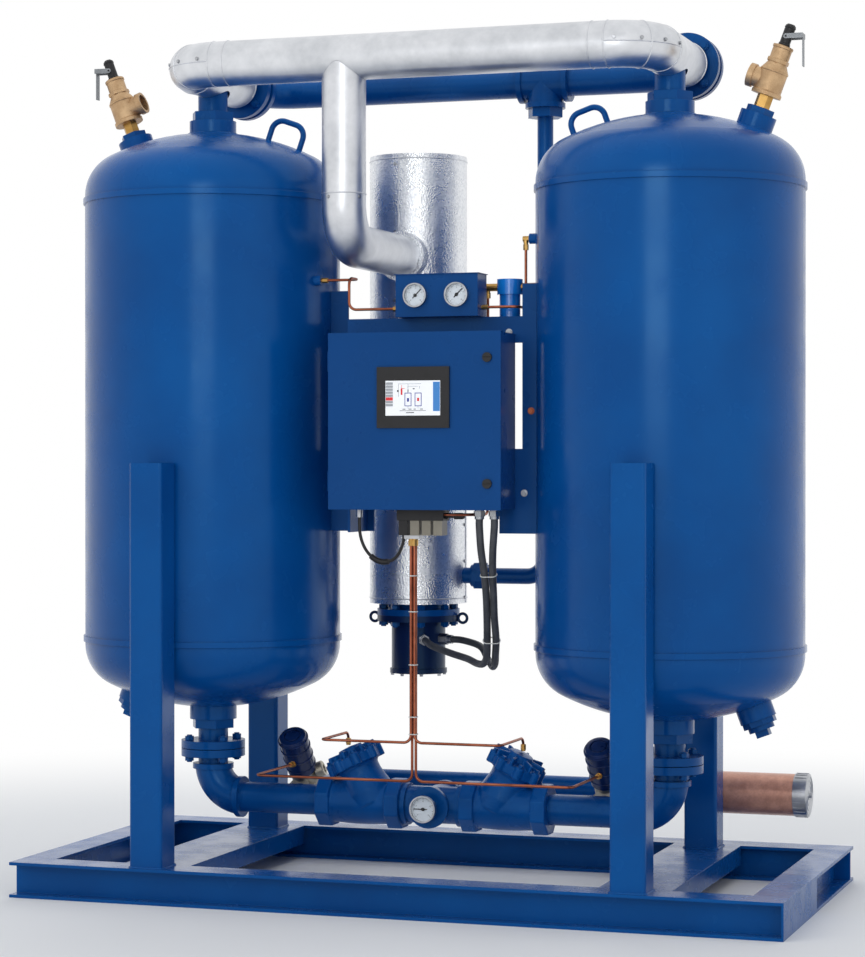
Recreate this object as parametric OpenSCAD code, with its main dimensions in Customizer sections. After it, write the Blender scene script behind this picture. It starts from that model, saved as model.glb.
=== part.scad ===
// Heated twin-tower desiccant air dryer on a beam skid.
// Millimetres. X runs along the skid, Y to the back, Z up. The origin is the skid's centre on the floor.

/* [Skid] */
// Length of the skid
skid_l = 2250; // [2050:10:2600]
// Depth of the skid
skid_d = 1090; // [1080:10:1300]
// Height of the skid's beams
rail_h = 101.6; // [90:0.1:130]
// Width of a beam's flanges
rail_w = 100; // [90:1:110]
// Thickness of a beam's flanges
rail_flange_t = 8.8; // [6:0.1:12]
// Thickness of a beam's web
rail_web_t = 7.1; // [5:0.1:10]
// Width of a cross member
cross_w = 203; // [180:1:240]
// Height of a cross member
cross_h = 57; // [40:1:80]
// Wall of a cross member
cross_t = 8; // [6:0.5:12]
// Length of the closure plate on the right end rail
closure_l = 385; // [200:5:600]
// Thickness of the closure plate and of the front rail's end plate
closure_t = 6; // [4:0.5:10]

/* [Legs] */
// Side of a leg's square tube
leg_w = 100; // [90:1:110]
// Wall of a leg's tube
leg_wall = 6; // [4:0.5:10]
// Corner radius of a leg's tube
leg_corner_r = 10; // [8:0.5:16]
// Height of a leg's top above the floor
leg_top = 1250; // [1100:10:1500]
// Width of the pad between a leg and its tower
pad_w = 84; // [60:1:90]
// Least thickness of that pad
pad_t = 8; // [5:0.5:15]
// Height of that pad
pad_h = 440; // [300:10:450]

/* [Towers] */
// Outside diameter of a tower
tower_od = 762; // [720:1:790]
// Wall of a tower
tower_wall = 8; // [6:0.5:12]
// Distance between the towers' axes
tower_pitch = 1404; // [1380:1:1480]
// Place of the towers' axes, front to back
tower_y = -45; // [-60:1:-30]
// Height of the lower tangent line
shell_z = 711; // [680:1:760]
// Length of the straight shell
shell_h = 1335; // [1250:5:1450]
// Crown radius of the heads
crown_r = 689; // [660:1:720]
// Knuckle radius of the heads
knuckle_r = 131.6; // [110:0.1:150]
// Height of a seam band
seam_h = 17; // [10:1:30]
// Thickness of a seam band
seam_t = 5; // [2:0.5:8]
// Diameter of the couplings on a tower's axis
nozzle_od = 139.7; // [130:0.1:160]
// Height of those couplings past the head
nozzle_h = 36; // [30:1:60]
// Bore of those couplings
nozzle_bore = 114; // [100:1:120]
// Distance of the outer ports from the tower's axis
port_r = 242; // [225:1:255]
// Diameter of an outer port's coupling
port_od = 104; // [95:1:115]
// Height of an outer port's coupling past the head
port_h = 38; // [30:1:50]
// Bore of an outer port
port_bore = 61; // [50:1:75]
// Diameter of a gauge line's port
tap_od = 30; // [24:1:40]
// Length of a gauge line's port
tap_l = 16; // [10:1:24]
// Distance of the lifting lug from the tower's axis
lug_r = 229; // [205:1:245]
// Diameter of the lug's bar
lug_bar = 17; // [12:1:22]
// Width of the lug between the bar's centres
lug_w = 104; // [80:1:120]
// Height of the lug above the head
lug_h = 74; // [50:1:90]
// Thickness of a bed screen
screen_t = 6; // [4:0.5:10]
// Diameter of the holes in a bed screen
screen_hole = 14; // [8:1:18]

/* [Upper pipework] */
// Outside diameter of the main pipe
pipe_od = 88.9; // [82:0.1:92]
// Wall of the main pipe
pipe_wall = 5.5; // [4:0.1:8]
// Outside diameter of a branch pipe
branch_od = 88; // [80:0.1:91]
// Bend radius of an elbow
bend_r = 114.3; // [100:0.1:120]
// Height of the headers above the towers' tops
header_rise = 168; // [150:1:200]
// Reach of the front header ahead of the towers' axes
header_reach = 250; // [240:1:270]
// Reach of the outlet header behind the towers' axes
outlet_reach = 410; // [400:1:440]
// Reach of the front header's return to its check valve
run_reach = 205; // [195:1:215]
// Outside diameter of the lagging on the header
lagging_od = 130; // [124:1:140]
// Outside diameter of the lagging on the drop pipe
drop_lagging_od = 126; // [120:1:134]
// Length of the straight tail on an elbow's lagging
elbow_tail = 45; // [20:1:80]
// Height of the hot pipe into the heater
hot_z = 1876; // [1850:1:1950]
// Height of a hex bush
bush_h = 27; // [20:1:35]
// Width of a hex bush across its corners
bush_d = 132; // [120:1:138]
// Diameter of a pipe flange
flange_od = 190.5; // [180:0.5:205]
// Thickness of a pipe flange
flange_t = 23; // [18:0.5:28]
// Bolt circle of a pipe flange
flange_pcd = 152.4; // [145:0.1:160]
// Diameter of a flange bolt
bolt_d = 16; // [12:1:18]
// Length of a check valve between its flanges
check_l = 20; // [15:1:40]
// Diameter of a check valve between its flanges
check_od = 130; // [120:1:135]
// Half length of a threaded tee
tee_reach = 79; // [75:1:90]
// Diameter of a threaded fitting's body
fitting_od = 108; // [104:1:116]
// Diameter of a threaded fitting's bands
band_od = 122; // [118:1:130]
// Width of a threaded fitting's bands
band_w = 16; // [10:1:22]
// Place of the purge tee along the outlet header
purge_x = 217; // [190:1:260]
// Outside diameter of the purge pipe
purge_od = 48.3; // [42:0.1:60]
// Height of the purge pipe's lower run
purge_z = 905; // [880:1:960]
// Bend radius of the purge pipe
purge_bend_r = 57; // [50:1:76]

/* [Heater] */
// Place of the heater along the skid
heater_x = -190; // [-210:1:-175]
// Diameter of the heater's lagging
heater_od = 300; // [270:1:320]
// Diameter of the heater's vessel
vessel_od = 168.3; // [150:0.1:190]
// Wall of the heater's vessel
vessel_wall = 7.1; // [5:0.1:10]
// Height of the lagging's lower edge
heater_z = 820; // [790:1:850]
// Height of the lagging
heater_h = 1370; // [1250:5:1450]
// Thickness of the lagging over the vessel's end
heater_cap_t = 50; // [30:1:70]
// Diameter of the heater's flanges
heater_flange_od = 254; // [240:1:280]
// Thickness of one heater flange
heater_flange_t = 19; // [15:1:25]
// Bolt circle of the heater's flanges
heater_pcd = 216; // [205:1:225]
// Diameter of an element rod
rod_d = 13; // [8:1:16]
// Diameter of the terminal housing
housing_od = 166; // [140:1:180]
// Height of the terminal housing
housing_h = 160; // [150:1:200]
// Wall of the terminal housing
housing_wall = 4; // [3:0.5:8]

/* [Enclosure] */
// Place of the enclosure's centre along the skid
box_x = 38; // [30:1:45]
// Width of the enclosure
box_w = 512; // [490:1:520]
// Height of the enclosure
box_h = 500; // [470:1:520]
// Height of the enclosure's lower edge
box_z = 1118; // [1100:1:1140]
// Place of the door's front face
box_front = -350; // [-370:1:-340]
// Depth of the enclosure with its door
box_depth = 150; // [140:1:155]
// Sheet thickness of the box
box_sheet = 2.5; // [2:0.1:4]
// Depth of the door's pan
door_depth = 20; // [16:1:26]
// Sheet thickness of the door
door_sheet = 2; // [1.5:0.1:3]
// Overhang of the door past the box
door_lap = 3; // [2:0.5:5]
// Gap between the closed door and the box
door_gap = 3; // [2:0.5:5]
// Width of the box's inner lip
lip_w = 15; // [10:1:20]
// Radius of a hinge barrel
hinge_r = 5; // [4.5:0.1:6]
// Radius of a hinge pin
hinge_pin_r = 2.5; // [2:0.1:3.5]
// Length of one hinge knuckle
knuckle_l = 28; // [20:1:40]
// Distance of the hinges from the enclosure's ends
hinge_inset = 80; // [60:1:120]
// Diameter of a latch's shaft
latch_d = 16; // [12:0.5:20]
// Diameter of a latch's head
latch_head_d = 27; // [24:1:32]
// Distance of the latches from the door's right edge
latch_inset = 39; // [34:1:44]
// Distance of the latches from the door's ends
latch_end = 74; // [60:1:100]
// Reach of a latch's cam
cam_reach = 29; // [26:0.5:30]
// Width of the operator panel's bezel
hmi_w = 214; // [180:1:240]
// Height of the operator panel's bezel
hmi_h = 172; // [150:1:190]
// Height of the operator panel's centre above the enclosure's lower edge
hmi_rise = 316; // [290:1:340]
// Thickness of the operator panel's bezel
hmi_t = 7; // [4:1:12]
// Depth of the operator panel's body behind the door
hmi_depth = 45; // [30:1:55]
// Thickness of the bracket's plates
plate_t = 8; // [6:0.5:12]
// Height of the bracket's crosspiece
cross_bar_h = 75; // [60:1:90]
// Depth of the bracket's crosspiece
cross_bar_d = 44; // [36:1:60]

/* [Gauges] */
// Width of the gauge panel
panel_w = 245; // [230:1:260]
// Height of the gauge panel
panel_h = 122; // [110:1:140]
// Depth of the gauge panel
panel_d = 84; // [70:1:100]
// Sheet thickness of the gauge panel
panel_sheet = 2; // [1.5:0.1:3]
// Distance between the two panel gauges
gauge_pitch = 123; // [100:1:140]
// Diameter of a panel gauge
gauge_od = 69; // [60:1:76]
// Diameter of the inlet gauge
inlet_gauge_od = 78; // [65:1:90]
// Depth of a gauge's case
gauge_depth = 15; // [12:0.5:20]
// Width of a gauge's bezel ring
bezel_w = 4; // [3:0.5:6]
// Diameter of a pointer's post
post_d = 4; // [3:0.1:5]
// Angle of the panel gauges' pointers, clockwise from up
pointer_turn = 45; // [0:5:90]

/* [Lower pipework] */
// Height of the manifold's axis
manifold_z = 252; // [240:1:270]
// Half length of the inlet tee
cross_reach = 92; // [85:1:100]
// Length of an inlet valve
valve_l = 260; // [245:1:280]
// Length of an inlet valve's threaded end
valve_end_l = 44; // [36:1:50]
// Width of a threaded end across its corners
valve_end_d = 142; // [132:1:150]
// Diameter of an inlet valve's body
valve_body_d = 118; // [110:1:128]
// Lean of an inlet valve's bonnet
bonnet_lean = 26; // [20:1:30]
// Distance of a bonnet's base from the tee's end
bonnet_shift = 96; // [88:1:104]
// Diameter of a bonnet's flange
bonnet_od = 176; // [165:1:185]
// Thickness of a bonnet's flange
bonnet_t = 30; // [24:1:36]
// Height of a bonnet's flange along its axis
bonnet_rise = 120; // [112:1:128]
// Travel of an inlet valve's plug
inlet_travel = 28; // [15:1:30]
// Place of an exhaust valve along the skid
exhaust_x = 475; // [460:1:490]
// Diameter of the exhaust pipe
exhaust_od = 60.3; // [55:0.1:64]
// Place of the exhaust manifold's axis
exhaust_y = 516; // [514:1:540]
// Place of an exhaust valve's seat
seat_y = 165; // [150:1:180]
// Lean of an exhaust valve's actuator
actuator_lean = 38; // [32:1:42]
// Diameter of an actuator
actuator_od = 88; // [80:1:92]
// Length of an actuator
actuator_l = 128; // [110:1:150]
// Length of an exhaust valve's neck
actuator_rise = 92; // [88:1:100]
// Travel of an exhaust valve's plug
exhaust_travel = 20; // [10:1:22]
// Diameter of the muffler
muffler_od = 126; // [115:1:130]
// Length of the muffler's body
muffler_l = 222; // [180:1:240]
// Length of the muffler's cap
muffler_cap_l = 40; // [30:1:50]
// Place of the muffler's inlet along the skid
muffler_x = 735; // [720:1:760]

/* [Relief valves] */
// Diameter of a relief valve's body
relief_d = 78; // [70:1:84]
// Diameter of a relief valve's bonnet
relief_bonnet_d = 55; // [48:1:60]
// Diameter of a relief valve's outlet
relief_outlet_d = 66; // [58:1:70]
// Reach of a relief valve's outlet
relief_outlet_l = 66; // [60:1:72]
// Length of a lever's blade
lever_l = 92; // [70:1:100]
// Diameter of a lever's pin
lever_pin_d = 5; // [4:0.1:7]

/* [Fits] */
// Clearance between pieces that seat on each other
seat_gap = 0.1; // [0.05:0.01:0.2]
// Radial clearance of a turning or sliding fit
run_gap = 0.05; // [0.02:0.01:0.08]
// Clearance between pieces that move past each other
move_gap = 0.4; // [0.3:0.05:0.6]

/* [Hidden] */

$fn = 48;
round_fn = 96;
paint = "royalblue";
lagging_tone = "silver";
left = -1;
right = 1;
sides = [left, right];
// Overrun of a cut past the face that it opens
cut = 1;

// Tower geometry
tower_r = tower_od / 2;
tower_x = tower_pitch / 2;
shell_top = shell_z + shell_h;
dome_h = crown_r - sqrt(pow(crown_r - knuckle_r, 2) - pow(tower_r - knuckle_r, 2));
dome_top = shell_top + dome_h;
dome_bottom = shell_z - dome_h;
upper_crown_z = dome_top - crown_r;
lower_crown_z = dome_bottom + crown_r;
nozzle_top = round(dome_top + nozzle_h);
nozzle_bottom = round(dome_bottom - nozzle_h);
port_lean = asin(port_r / crown_r);
lug_lean = asin(lug_r / crown_r);
nozzle_step = 30;
nozzle_clear = 12;
bed_r = tower_r - tower_wall - 2 * seat_gap;

// Pipework geometry
pipe_id = pipe_od - 2 * pipe_wall;
branch_id = branch_od - 2 * pipe_wall;
header_z = round(dome_top + header_rise);
front_y = tower_y - header_reach;
rear_y = tower_y + outlet_reach;
run_y = tower_y + run_reach;
check_back_y = run_y + 2 * flange_t + check_l;
bolt_hole = bolt_d + 2;
nut_d = 1.75 * bolt_d;
nut_h = 0.8 * bolt_d;
bolt_tail = 4;
lagging_back_y = floor(run_y - nut_h - bolt_tail - move_gap);
nipple_gap = 36;
stack_top = nozzle_bottom - bush_h - nipple_gap;
stack_flange_gap = 2;
stack_bottom = stack_top - 2 * flange_t - stack_flange_gap;
stack_hub_l = 22;
elbow_reach = stack_bottom - stack_hub_l - manifold_z;
valve_x = cross_reach + valve_l;

// Heater geometry
vessel_top = heater_z + heater_h - heater_cap_t;
vessel_z = floor(heater_z - nut_h - bolt_tail - move_gap);
vessel_flange_z = vessel_z - heater_flange_t;
element_flange_z = vessel_flange_z - heater_flange_t;
housing_z = element_flange_z - housing_h;

// Enclosure geometry
box_left = box_x - box_w / 2;
box_right = box_x + box_w / 2;
box_top = box_z + box_h;
box_back = box_front + box_depth;
rim_y = box_front + door_depth + door_gap;
hinge_x = box_left - hinge_r;
hinge_y = rim_y - door_gap / 3;
latch_x = box_right - latch_inset;
latch_heights = [box_top - latch_end, box_z + latch_end];
hmi_z = box_z + hmi_rise;
hmi_frame = 11;
cam_t = 3;
cam_gap = 1;
cam_y = rim_y + box_sheet + cam_gap;
cross_bar_top = box_top + 47;
gauge_z = cross_bar_top + panel_h / 2;
panel_x = box_x + 38;
panel_front = box_back - 60;
gauge_xs = [panel_x - gauge_pitch / 2, panel_x + gauge_pitch / 2];
tap_shift = 96;
manifold_x = box_x;
manifold_w = 138;

// Valve geometry
bonnet_x = cross_reach + bonnet_shift;
bonnet_base = 36;
plug_t = 16;
plug_stem_d = 16;
plug_stem_l = 76;
exhaust_plug_t = 12;
exhaust_stem_d = 10;
exhaust_stem_l = 46;

// Relief valve places, along the valve's own axis
relief_bush_h = 18;
relief_nipple_h = 36;
relief_body_z = relief_bush_h + relief_nipple_h;
relief_outlet_z = relief_body_z + 42;
relief_cone_z = relief_body_z + 74;
relief_bonnet_z = relief_cone_z + 20;
relief_cap_z = relief_bonnet_z + 52;
relief_pin_z = relief_cap_z + 26;
relief_top_z = relief_cap_z + 62;
relief_cap_d = 30;
fork_y = relief_cap_d / 2 + 3;
fork_t = 3;
lever_reach = 44;

// Routes of the flexible conduits and of the cable
conduit_d = 21;
cable_d = 9;
left_conduit_points = [
    [210, -280, 1092], [210, -280, 1070], [210, -265, 1005], [210, -235, 940], [205, -200, 875],
    [195, -160, 810], [180, -110, 745], [160, -50, 690], [135, 0, 665], [100, 50, 660],
    [55, 95, 670], [0, 130, 680], [-45, 155, 690], [-85, 180, 700], [-110, 214, 707], [-131, 254, 710],
];
right_conduit_points = [
    [254, -280, 1092], [254, -280, 1070], [245, -265, 1005], [235, -235, 940], [227, -200, 875],
    [217, -160, 810], [205, -105, 745], [185, -45, 695], [165, 15, 665], [140, 75, 650],
    [115, 130, 655], [85, 190, 670], [55, 245, 690], [20, 290, 700], [-36, 323, 709], [-69, 332, 710],
];
cable_points = [
    [-150, -276, 1095], [-150, -276, 1078], [-149, -275, 1052], [-144, -273, 1028], [-134, -271, 1005],
    [-118, -269, 985], [-98, -268, 972], [-76, -267, 968], [-54, -266, 974], [-38, -265, 988],
    [-28, -265, 1006], [-22, -265, 1024], [-20, -265, 1036], [-20, -265, 1045],
];
left_connector_turn = -62;
right_connector_turn = -15;

function unit(v) = v / norm(v);
function flip(p, s) = [s * p[0], p[1], p[2]];

// Sets children in a frame given by its three axes and its origin
module placed(x, y, z, o) {
    multmatrix([
        [x[0], y[0], z[0], o[0]],
        [x[1], y[1], z[1], o[1]],
        [x[2], y[2], z[2], o[2]],
        [0, 0, 0, 1],
    ]) children();
}

// Sets children with their Z along a direction from a point
module along(p, d) {
    u = unit(d);
    side = abs(u[2]) > 0.9 ? [1, 0, 0] : [0, 0, 1];
    x = unit(cross(side, u));
    placed(x, cross(u, x), u, p) children();
}

// Round bar or bore along a direction
module rod(p, d, dia, from, to) {
    along(p, d) translate([0, 0, from]) cylinder(d = dia, h = to - from);
}

// Bar with flat sides along a direction
module prism(p, d, across, count, from, to) {
    along(p, d) translate([0, 0, from]) rotate(180 / count) cylinder(d = across, h = to - from, $fn = count);
}

// Section of a round bar, or of a tube where it has a bore
module round_section(d, bore) {
    difference() {
        circle(d = d);
        if (bore > 0) circle(d = bore);
    }
}

// Round bar or tube through points, with bends of one radius
module route(pts, rb, d, bore = 0) {
    n = len(pts);
    function trim(i) = (i <= 0 || i >= n - 1) ? 0
        : let (u = unit(pts[i] - pts[i - 1]), v = unit(pts[i + 1] - pts[i])) rb * tan(acos(u * v) / 2);
    for (i = [0 : n - 2]) {
        u = unit(pts[i + 1] - pts[i]);
        l = norm(pts[i + 1] - pts[i]) - trim(i) - trim(i + 1);
        if (l > 0.001) along(pts[i] + u * trim(i), u) linear_extrude(l) round_section(d, bore);
        if (i > 0) {
            p = unit(pts[i] - pts[i - 1]);
            inward = unit(u - p * (p * u));
            placed(-inward, p, cross(-inward, p), pts[i] - p * trim(i) + inward * rb)
                rotate_extrude(angle = acos(p * u), $fn = 64) translate([rb, 0]) round_section(d, bore);
        }
    }
}

// Flexible tube through points, as one closed skin
module cord(pts, d) {
    sides_n = 10;
    m = len(pts);
    function heading(i) = unit(pts[min(i + 1, m - 1)] - pts[max(i - 1, 0)]);
    function ring(i) = let (t = heading(i), x = unit(cross([0, 1, 0], t)), y = cross(t, x))
        [for (k = [0 : sides_n - 1]) let (a = 360 * k / sides_n) pts[i] + d / 2 * (cos(a) * x + sin(a) * y)];
    skin = [for (i = [0 : m - 1]) each ring(i)];
    walls = [for (i = [0 : m - 2], k = [0 : sides_n - 1])
        let (a = i * sides_n, b = a + sides_n, q = (k + 1) % sides_n)
            each [[a + k, b + k, b + q], [a + k, b + q, a + q]]];
    first = [for (k = [0 : sides_n - 1]) k];
    last = [for (k = [sides_n - 1 : -1 : 0]) (m - 1) * sides_n + k];
    polyhedron(skin, concat([first], walls, [last]));
}

// Half section of a tower with two dished heads
module head_profile(r, k, c, z1, z2) {
    h = c - sqrt(pow(c - k, 2) - pow(r - k, 2));
    difference() {
        union() {
            translate([0, z1]) square([r, z2 - z1]);
            for (up = [0, 1]) {
                tangent = up == 0 ? z1 : z2;
                centre = up == 0 ? z1 - h + c : z2 + h - c;
                toward = up == 0 ? -1 : 1;
                translate([r - k, tangent]) circle(r = k, $fn = 96);
                intersection() {
                    translate([0, centre]) circle(r = c, $fn = 180);
                    translate([0, centre])
                        polygon([[0, 0], [2 * (r - k), 2 * (tangent - centre)],
                            [0, 2 * (tangent - centre) + toward * c]]);
                }
            }
        }
        translate([-2 * r, z1 - r]) square([2 * r, z2 - z1 + 2 * r]);
    }
}

// I-section beam along X
module beam(l) {
    translate([0, -rail_w / 2, 0]) cube([l, rail_w, rail_flange_t]);
    translate([0, -rail_w / 2, rail_h - rail_flange_t]) cube([l, rail_w, rail_flange_t]);
    translate([0, -rail_web_t / 2, rail_flange_t / 2]) cube([l, rail_web_t, rail_h - rail_flange_t]);
}

// Web of a beam between its flanges
module beam_web(l) {
    translate([0, -rail_web_t / 2, rail_flange_t]) cube([l, rail_web_t, rail_h - 2 * rail_flange_t]);
}

rail_y = (skid_d - rail_w) / 2;
inner_d = skid_d - 2 * rail_w;
web_reach = (rail_w - rail_web_t) / 2;

module front_rail() {
    color(paint) {
        translate([-skid_l / 2, -rail_y, 0]) beam(skid_l - closure_t);
        translate([skid_l / 2 - closure_t, -skid_d / 2, 0]) cube([closure_t, rail_w, rail_h]);
    }
}

module rear_rail() {
    color(paint) translate([-skid_l / 2, rail_y, 0]) beam(skid_l);
}

module end_rails() {
    color(paint) {
        for (s = sides) {
            translate([s * (skid_l - rail_w) / 2, -inner_d / 2, 0]) rotate(90) {
                beam(inner_d);
                translate([-web_reach, 0, 0]) beam_web(inner_d + 2 * web_reach);
            }
        }
        translate([skid_l / 2 - closure_t, -inner_d / 2, rail_flange_t / 2])
            cube([closure_t, closure_l, rail_h - rail_flange_t]);
    }
}

module cross_members() {
    color(paint) for (s = sides) translate([s * tower_x - cross_w / 2, -inner_d / 2, rail_h - cross_h]) {
        translate([0, 0, cross_h - cross_t]) cube([cross_w, inner_d, cross_t]);
        cube([cross_t, inner_d, cross_h]);
        translate([cross_w - cross_t, 0, 0]) cube([cross_t, inner_d, cross_h]);
    }
}

// Square with rounded corners, centred
module rounded_square(w, r) {
    square([w - 2 * r, w], center = true);
    square([w, w - 2 * r], center = true);
    for (a = [-1, 1], b = [-1, 1]) translate([a * (w / 2 - r), b * (w / 2 - r)]) circle(r = r, $fn = 32);
}

// Legs on one side of the towers, front or back
module legs(toward) {
    leg_offset = tower_r + pad_t + leg_w / 2;
    for (s = sides) translate([s * tower_x, tower_y + toward * leg_offset, 0]) {
        translate([0, 0, rail_h]) difference() {
            linear_extrude(leg_top - rail_h) rounded_square(leg_w, leg_corner_r);
            translate([0, 0, -cut]) linear_extrude(leg_top - rail_h - leg_wall + cut)
                rounded_square(leg_w - 2 * leg_wall, leg_corner_r - leg_wall);
        }
        difference() {
            translate([-pad_w / 2, toward > 0 ? -leg_w / 2 - pad_w : leg_w / 2, leg_top - leg_wall - pad_h])
                cube([pad_w, pad_w, pad_h]);
            translate([0, -toward * leg_offset, 0])
                cylinder(r = tower_r + seat_gap, h = leg_top, $fn = round_fn);
        }
    }
}

module front_legs() {
    color(paint) legs(-1);
}

module rear_legs() {
    color(paint) legs(1);
}

// Direction of an outer port, up or down, and the place where it leaves the head
function port_axis(s, up) = [s * sin(port_lean), 0, up * cos(port_lean)];
function port_foot(s, up) =
    [s * (tower_x + port_r), tower_y, up > 0 ? upper_crown_z + crown_r * cos(port_lean)
        : lower_crown_z - crown_r * cos(port_lean)];
function tap_axis(s) = [-s, 0, 0];
tap_x = round(tower_x - sqrt(pow(tower_r, 2) - pow(tap_shift, 2)) - tap_l);
function tap_end(s) = [s * tap_x, tower_y - tap_shift, tap_z(s)];
function tap_z(s) = s < 0 ? hot_z - lagging_od / 2 - 28 : hot_z + 12;

module lug(s) {
    bar_top = lug_h - lug_bar / 2;
    half = lug_w / 2;
    translate([s * (tower_x - lug_r), tower_y, upper_crown_z + crown_r * cos(lug_lean)])
        rotate([0, -s * lug_lean, 0])
        route([[-half, 0, -tower_wall], [-half, 0, bar_top], [half, 0, bar_top], [half, 0, -tower_wall]],
            2 * lug_bar, lug_bar);
}

module tower(s) {
    axis = [s * tower_x, tower_y, 0];
    sink = tower_wall + 4;
    color(paint) difference() {
        union() {
            translate(axis) rotate_extrude($fn = round_fn)
                head_profile(tower_r, knuckle_r, crown_r, shell_z, shell_top);
            for (z = [shell_z + seam_h / 2, shell_top - 1.5 * seam_h])
                translate(axis + [0, 0, z]) cylinder(r = tower_r + seam_t, h = seam_h, $fn = round_fn);
            rod(axis, [0, 0, 1], nozzle_od, dome_top - sink, nozzle_top);
            rod(axis, [0, 0, 1], nozzle_od, nozzle_bottom, dome_bottom + sink);
            for (up = [-1, 1]) rod(port_foot(s, up), port_axis(s, up), port_od, -sink, port_h);
            rod(tap_end(s), tap_axis(s), tap_od, -tap_l - sink, 0);
            lug(s);
        }
        translate(axis) rotate_extrude($fn = round_fn)
            head_profile(tower_r - tower_wall, knuckle_r - tower_wall, crown_r - tower_wall,
                shell_z, shell_top);
        rod(axis, [0, 0, 1], branch_id, nozzle_bottom - cut, nozzle_top + cut);
        rod(axis, [0, 0, 1], nozzle_bore, nozzle_top - nozzle_step, nozzle_top + cut);
        rod(axis, [0, 0, 1], nozzle_bore, nozzle_bottom - cut, nozzle_bottom + nozzle_step);
        for (up = [-1, 1]) {
            rod(port_foot(s, up), port_axis(s, up), port_bore / 2, -2 * port_h, port_h + cut);
            rod(port_foot(s, up), port_axis(s, up), port_bore, port_h / 4, port_h + cut);
        }
        rod(tap_end(s), tap_axis(s), tap_od / 4, -tap_l - 2 * sink, cut);
    }
}

module left_tower() {
    tower(left);
}

module right_tower() {
    tower(right);
}

bed_z = shell_z + screen_t;
bed_top = shell_top - screen_t;

module desiccant_beds() {
    color("white") for (s = sides) translate([s * tower_x, tower_y, bed_z])
        cylinder(r = bed_r, h = bed_top - bed_z, $fn = round_fn);
}

module bed_screens() {
    ring_rs = [70, 170, 270];
    ring_count = 12;
    color("gray") for (s = sides, z = [shell_z, bed_top]) translate([s * tower_x, tower_y, z]) difference() {
        cylinder(r = bed_r, h = screen_t, $fn = round_fn);
        for (r = ring_rs, k = [0 : ring_count - 1]) rotate(360 * k / ring_count)
            translate([r, 0, -cut]) cylinder(d = screen_hole, h = screen_t + 2 * cut, $fn = 24);
    }
}

// Bush and plug in each tower's lower outer port
module port_plugs() {
    bush_l = 16;
    step_l = 14;
    head_l = 18;
    color(paint) for (s = sides) {
        foot = port_foot(s, -1);
        axis = port_axis(s, -1);
        rod(foot, axis, port_bore - 2 * seat_gap, port_h / 2, port_h);
        prism(foot, axis, port_od - 6, 8, port_h, port_h + bush_l);
        rod(foot, axis, port_od - 30, port_h + bush_l, port_h + bush_l + step_l);
        prism(foot, axis, port_od / 2, 4, port_h + bush_l + step_l, port_h + bush_l + step_l + head_l);
    }
}

// Front header and its two returns, stretched past its ends
function header_path(over) = [
    [-tower_x, run_y + over, header_z], [-tower_x, front_y, header_z],
    [tower_x, front_y, header_z], [tower_x, run_y + over, header_z],
];
function drop_path(over) = [
    [heater_x, front_y, header_z], [heater_x, front_y, hot_z], [heater_x, rear_y + over, hot_z],
];
vessel_r = vessel_od / 2;

module regen_pipework() {
    color("slategray") difference() {
        union() {
            route(header_path(0), bend_r, pipe_od);
            route(drop_path(0), bend_r, branch_od);
            for (s = sides) {
                nozzle = [s * tower_x, tower_y, 0];
                rod(nozzle, [0, 0, 1], branch_od, nozzle_top, header_z);
                prism(nozzle, [0, 0, 1], bush_d, 6, nozzle_top, nozzle_top + bush_h);
                rod(nozzle, [0, 0, 1], nozzle_bore - 2 * seat_gap, nozzle_top - nozzle_step, nozzle_top);
            }
        }
        route(header_path(cut), bend_r, pipe_id);
        route(drop_path(cut), bend_r, branch_id);
        for (s = sides)
            rod([s * tower_x, tower_y, 0], [0, 0, 1], branch_id, nozzle_top - 2 * nozzle_step, header_z);
        translate([heater_x, rear_y, 0]) cylinder(r = vessel_r + seat_gap, h = header_z);
    }
}

header_end = tower_x - bend_r - elbow_tail;

module header_lagging() {
    start = [-header_end, front_y, header_z];
    color(lagging_tone) difference() {
        rod(start, [1, 0, 0], lagging_od, 0, 2 * header_end);
        rod(start, [1, 0, 0], pipe_od + 2 * seat_gap, -cut, 2 * header_end + cut);
        rod([heater_x, front_y, header_z], [0, 0, -1], branch_od + 2 * seat_gap, 0, lagging_od);
    }
}

module elbow_laggings() {
    color(lagging_tone) for (s = sides) difference() {
        route([
            [s * header_end, front_y, header_z], [s * tower_x, front_y, header_z],
            [s * tower_x, lagging_back_y, header_z],
        ], bend_r, lagging_od, pipe_od + 2 * seat_gap);
        rod([s * tower_x, tower_y, header_z], [0, 0, -1], branch_od + nozzle_clear, 0, lagging_od);
    }
}

module drop_lagging() {
    color(lagging_tone) difference() {
        route(drop_path(0), bend_r, drop_lagging_od);
        route(drop_path(cut), bend_r, branch_od + 2 * seat_gap);
        rod([-tower_x, front_y, header_z], [1, 0, 0], lagging_od + 2 * seat_gap, 0, 2 * tower_x);
        translate([heater_x, rear_y, 0]) cylinder(d = heater_od + 2 * seat_gap, h = header_z, $fn = round_fn);
    }
}

// Holes or bolts on a flange's bolt circle
module on_circle(pcd, count) {
    for (k = [0 : count - 1]) rotate(360 * (k + 0.5) / count) translate([pcd / 2, 0, 0]) children();
}

module check_valve(s) {
    color(paint) along([s * tower_x, run_y, header_z], [0, 1, 0]) difference() {
        union() {
            cylinder(d = flange_od, h = flange_t);
            cylinder(d = check_od, h = 2 * flange_t + check_l);
            translate([0, 0, flange_t + check_l]) cylinder(d = flange_od, h = flange_t);
        }
        translate([0, 0, -cut]) cylinder(d = pipe_id, h = 2 * (flange_t + check_l));
        on_circle(flange_pcd, 4) translate([0, 0, -cut])
            cylinder(d = bolt_hole, h = 2 * (flange_t + check_l));
    }
}

module left_check_valve() {
    check_valve(left);
}

module right_check_valve() {
    check_valve(right);
}

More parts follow.
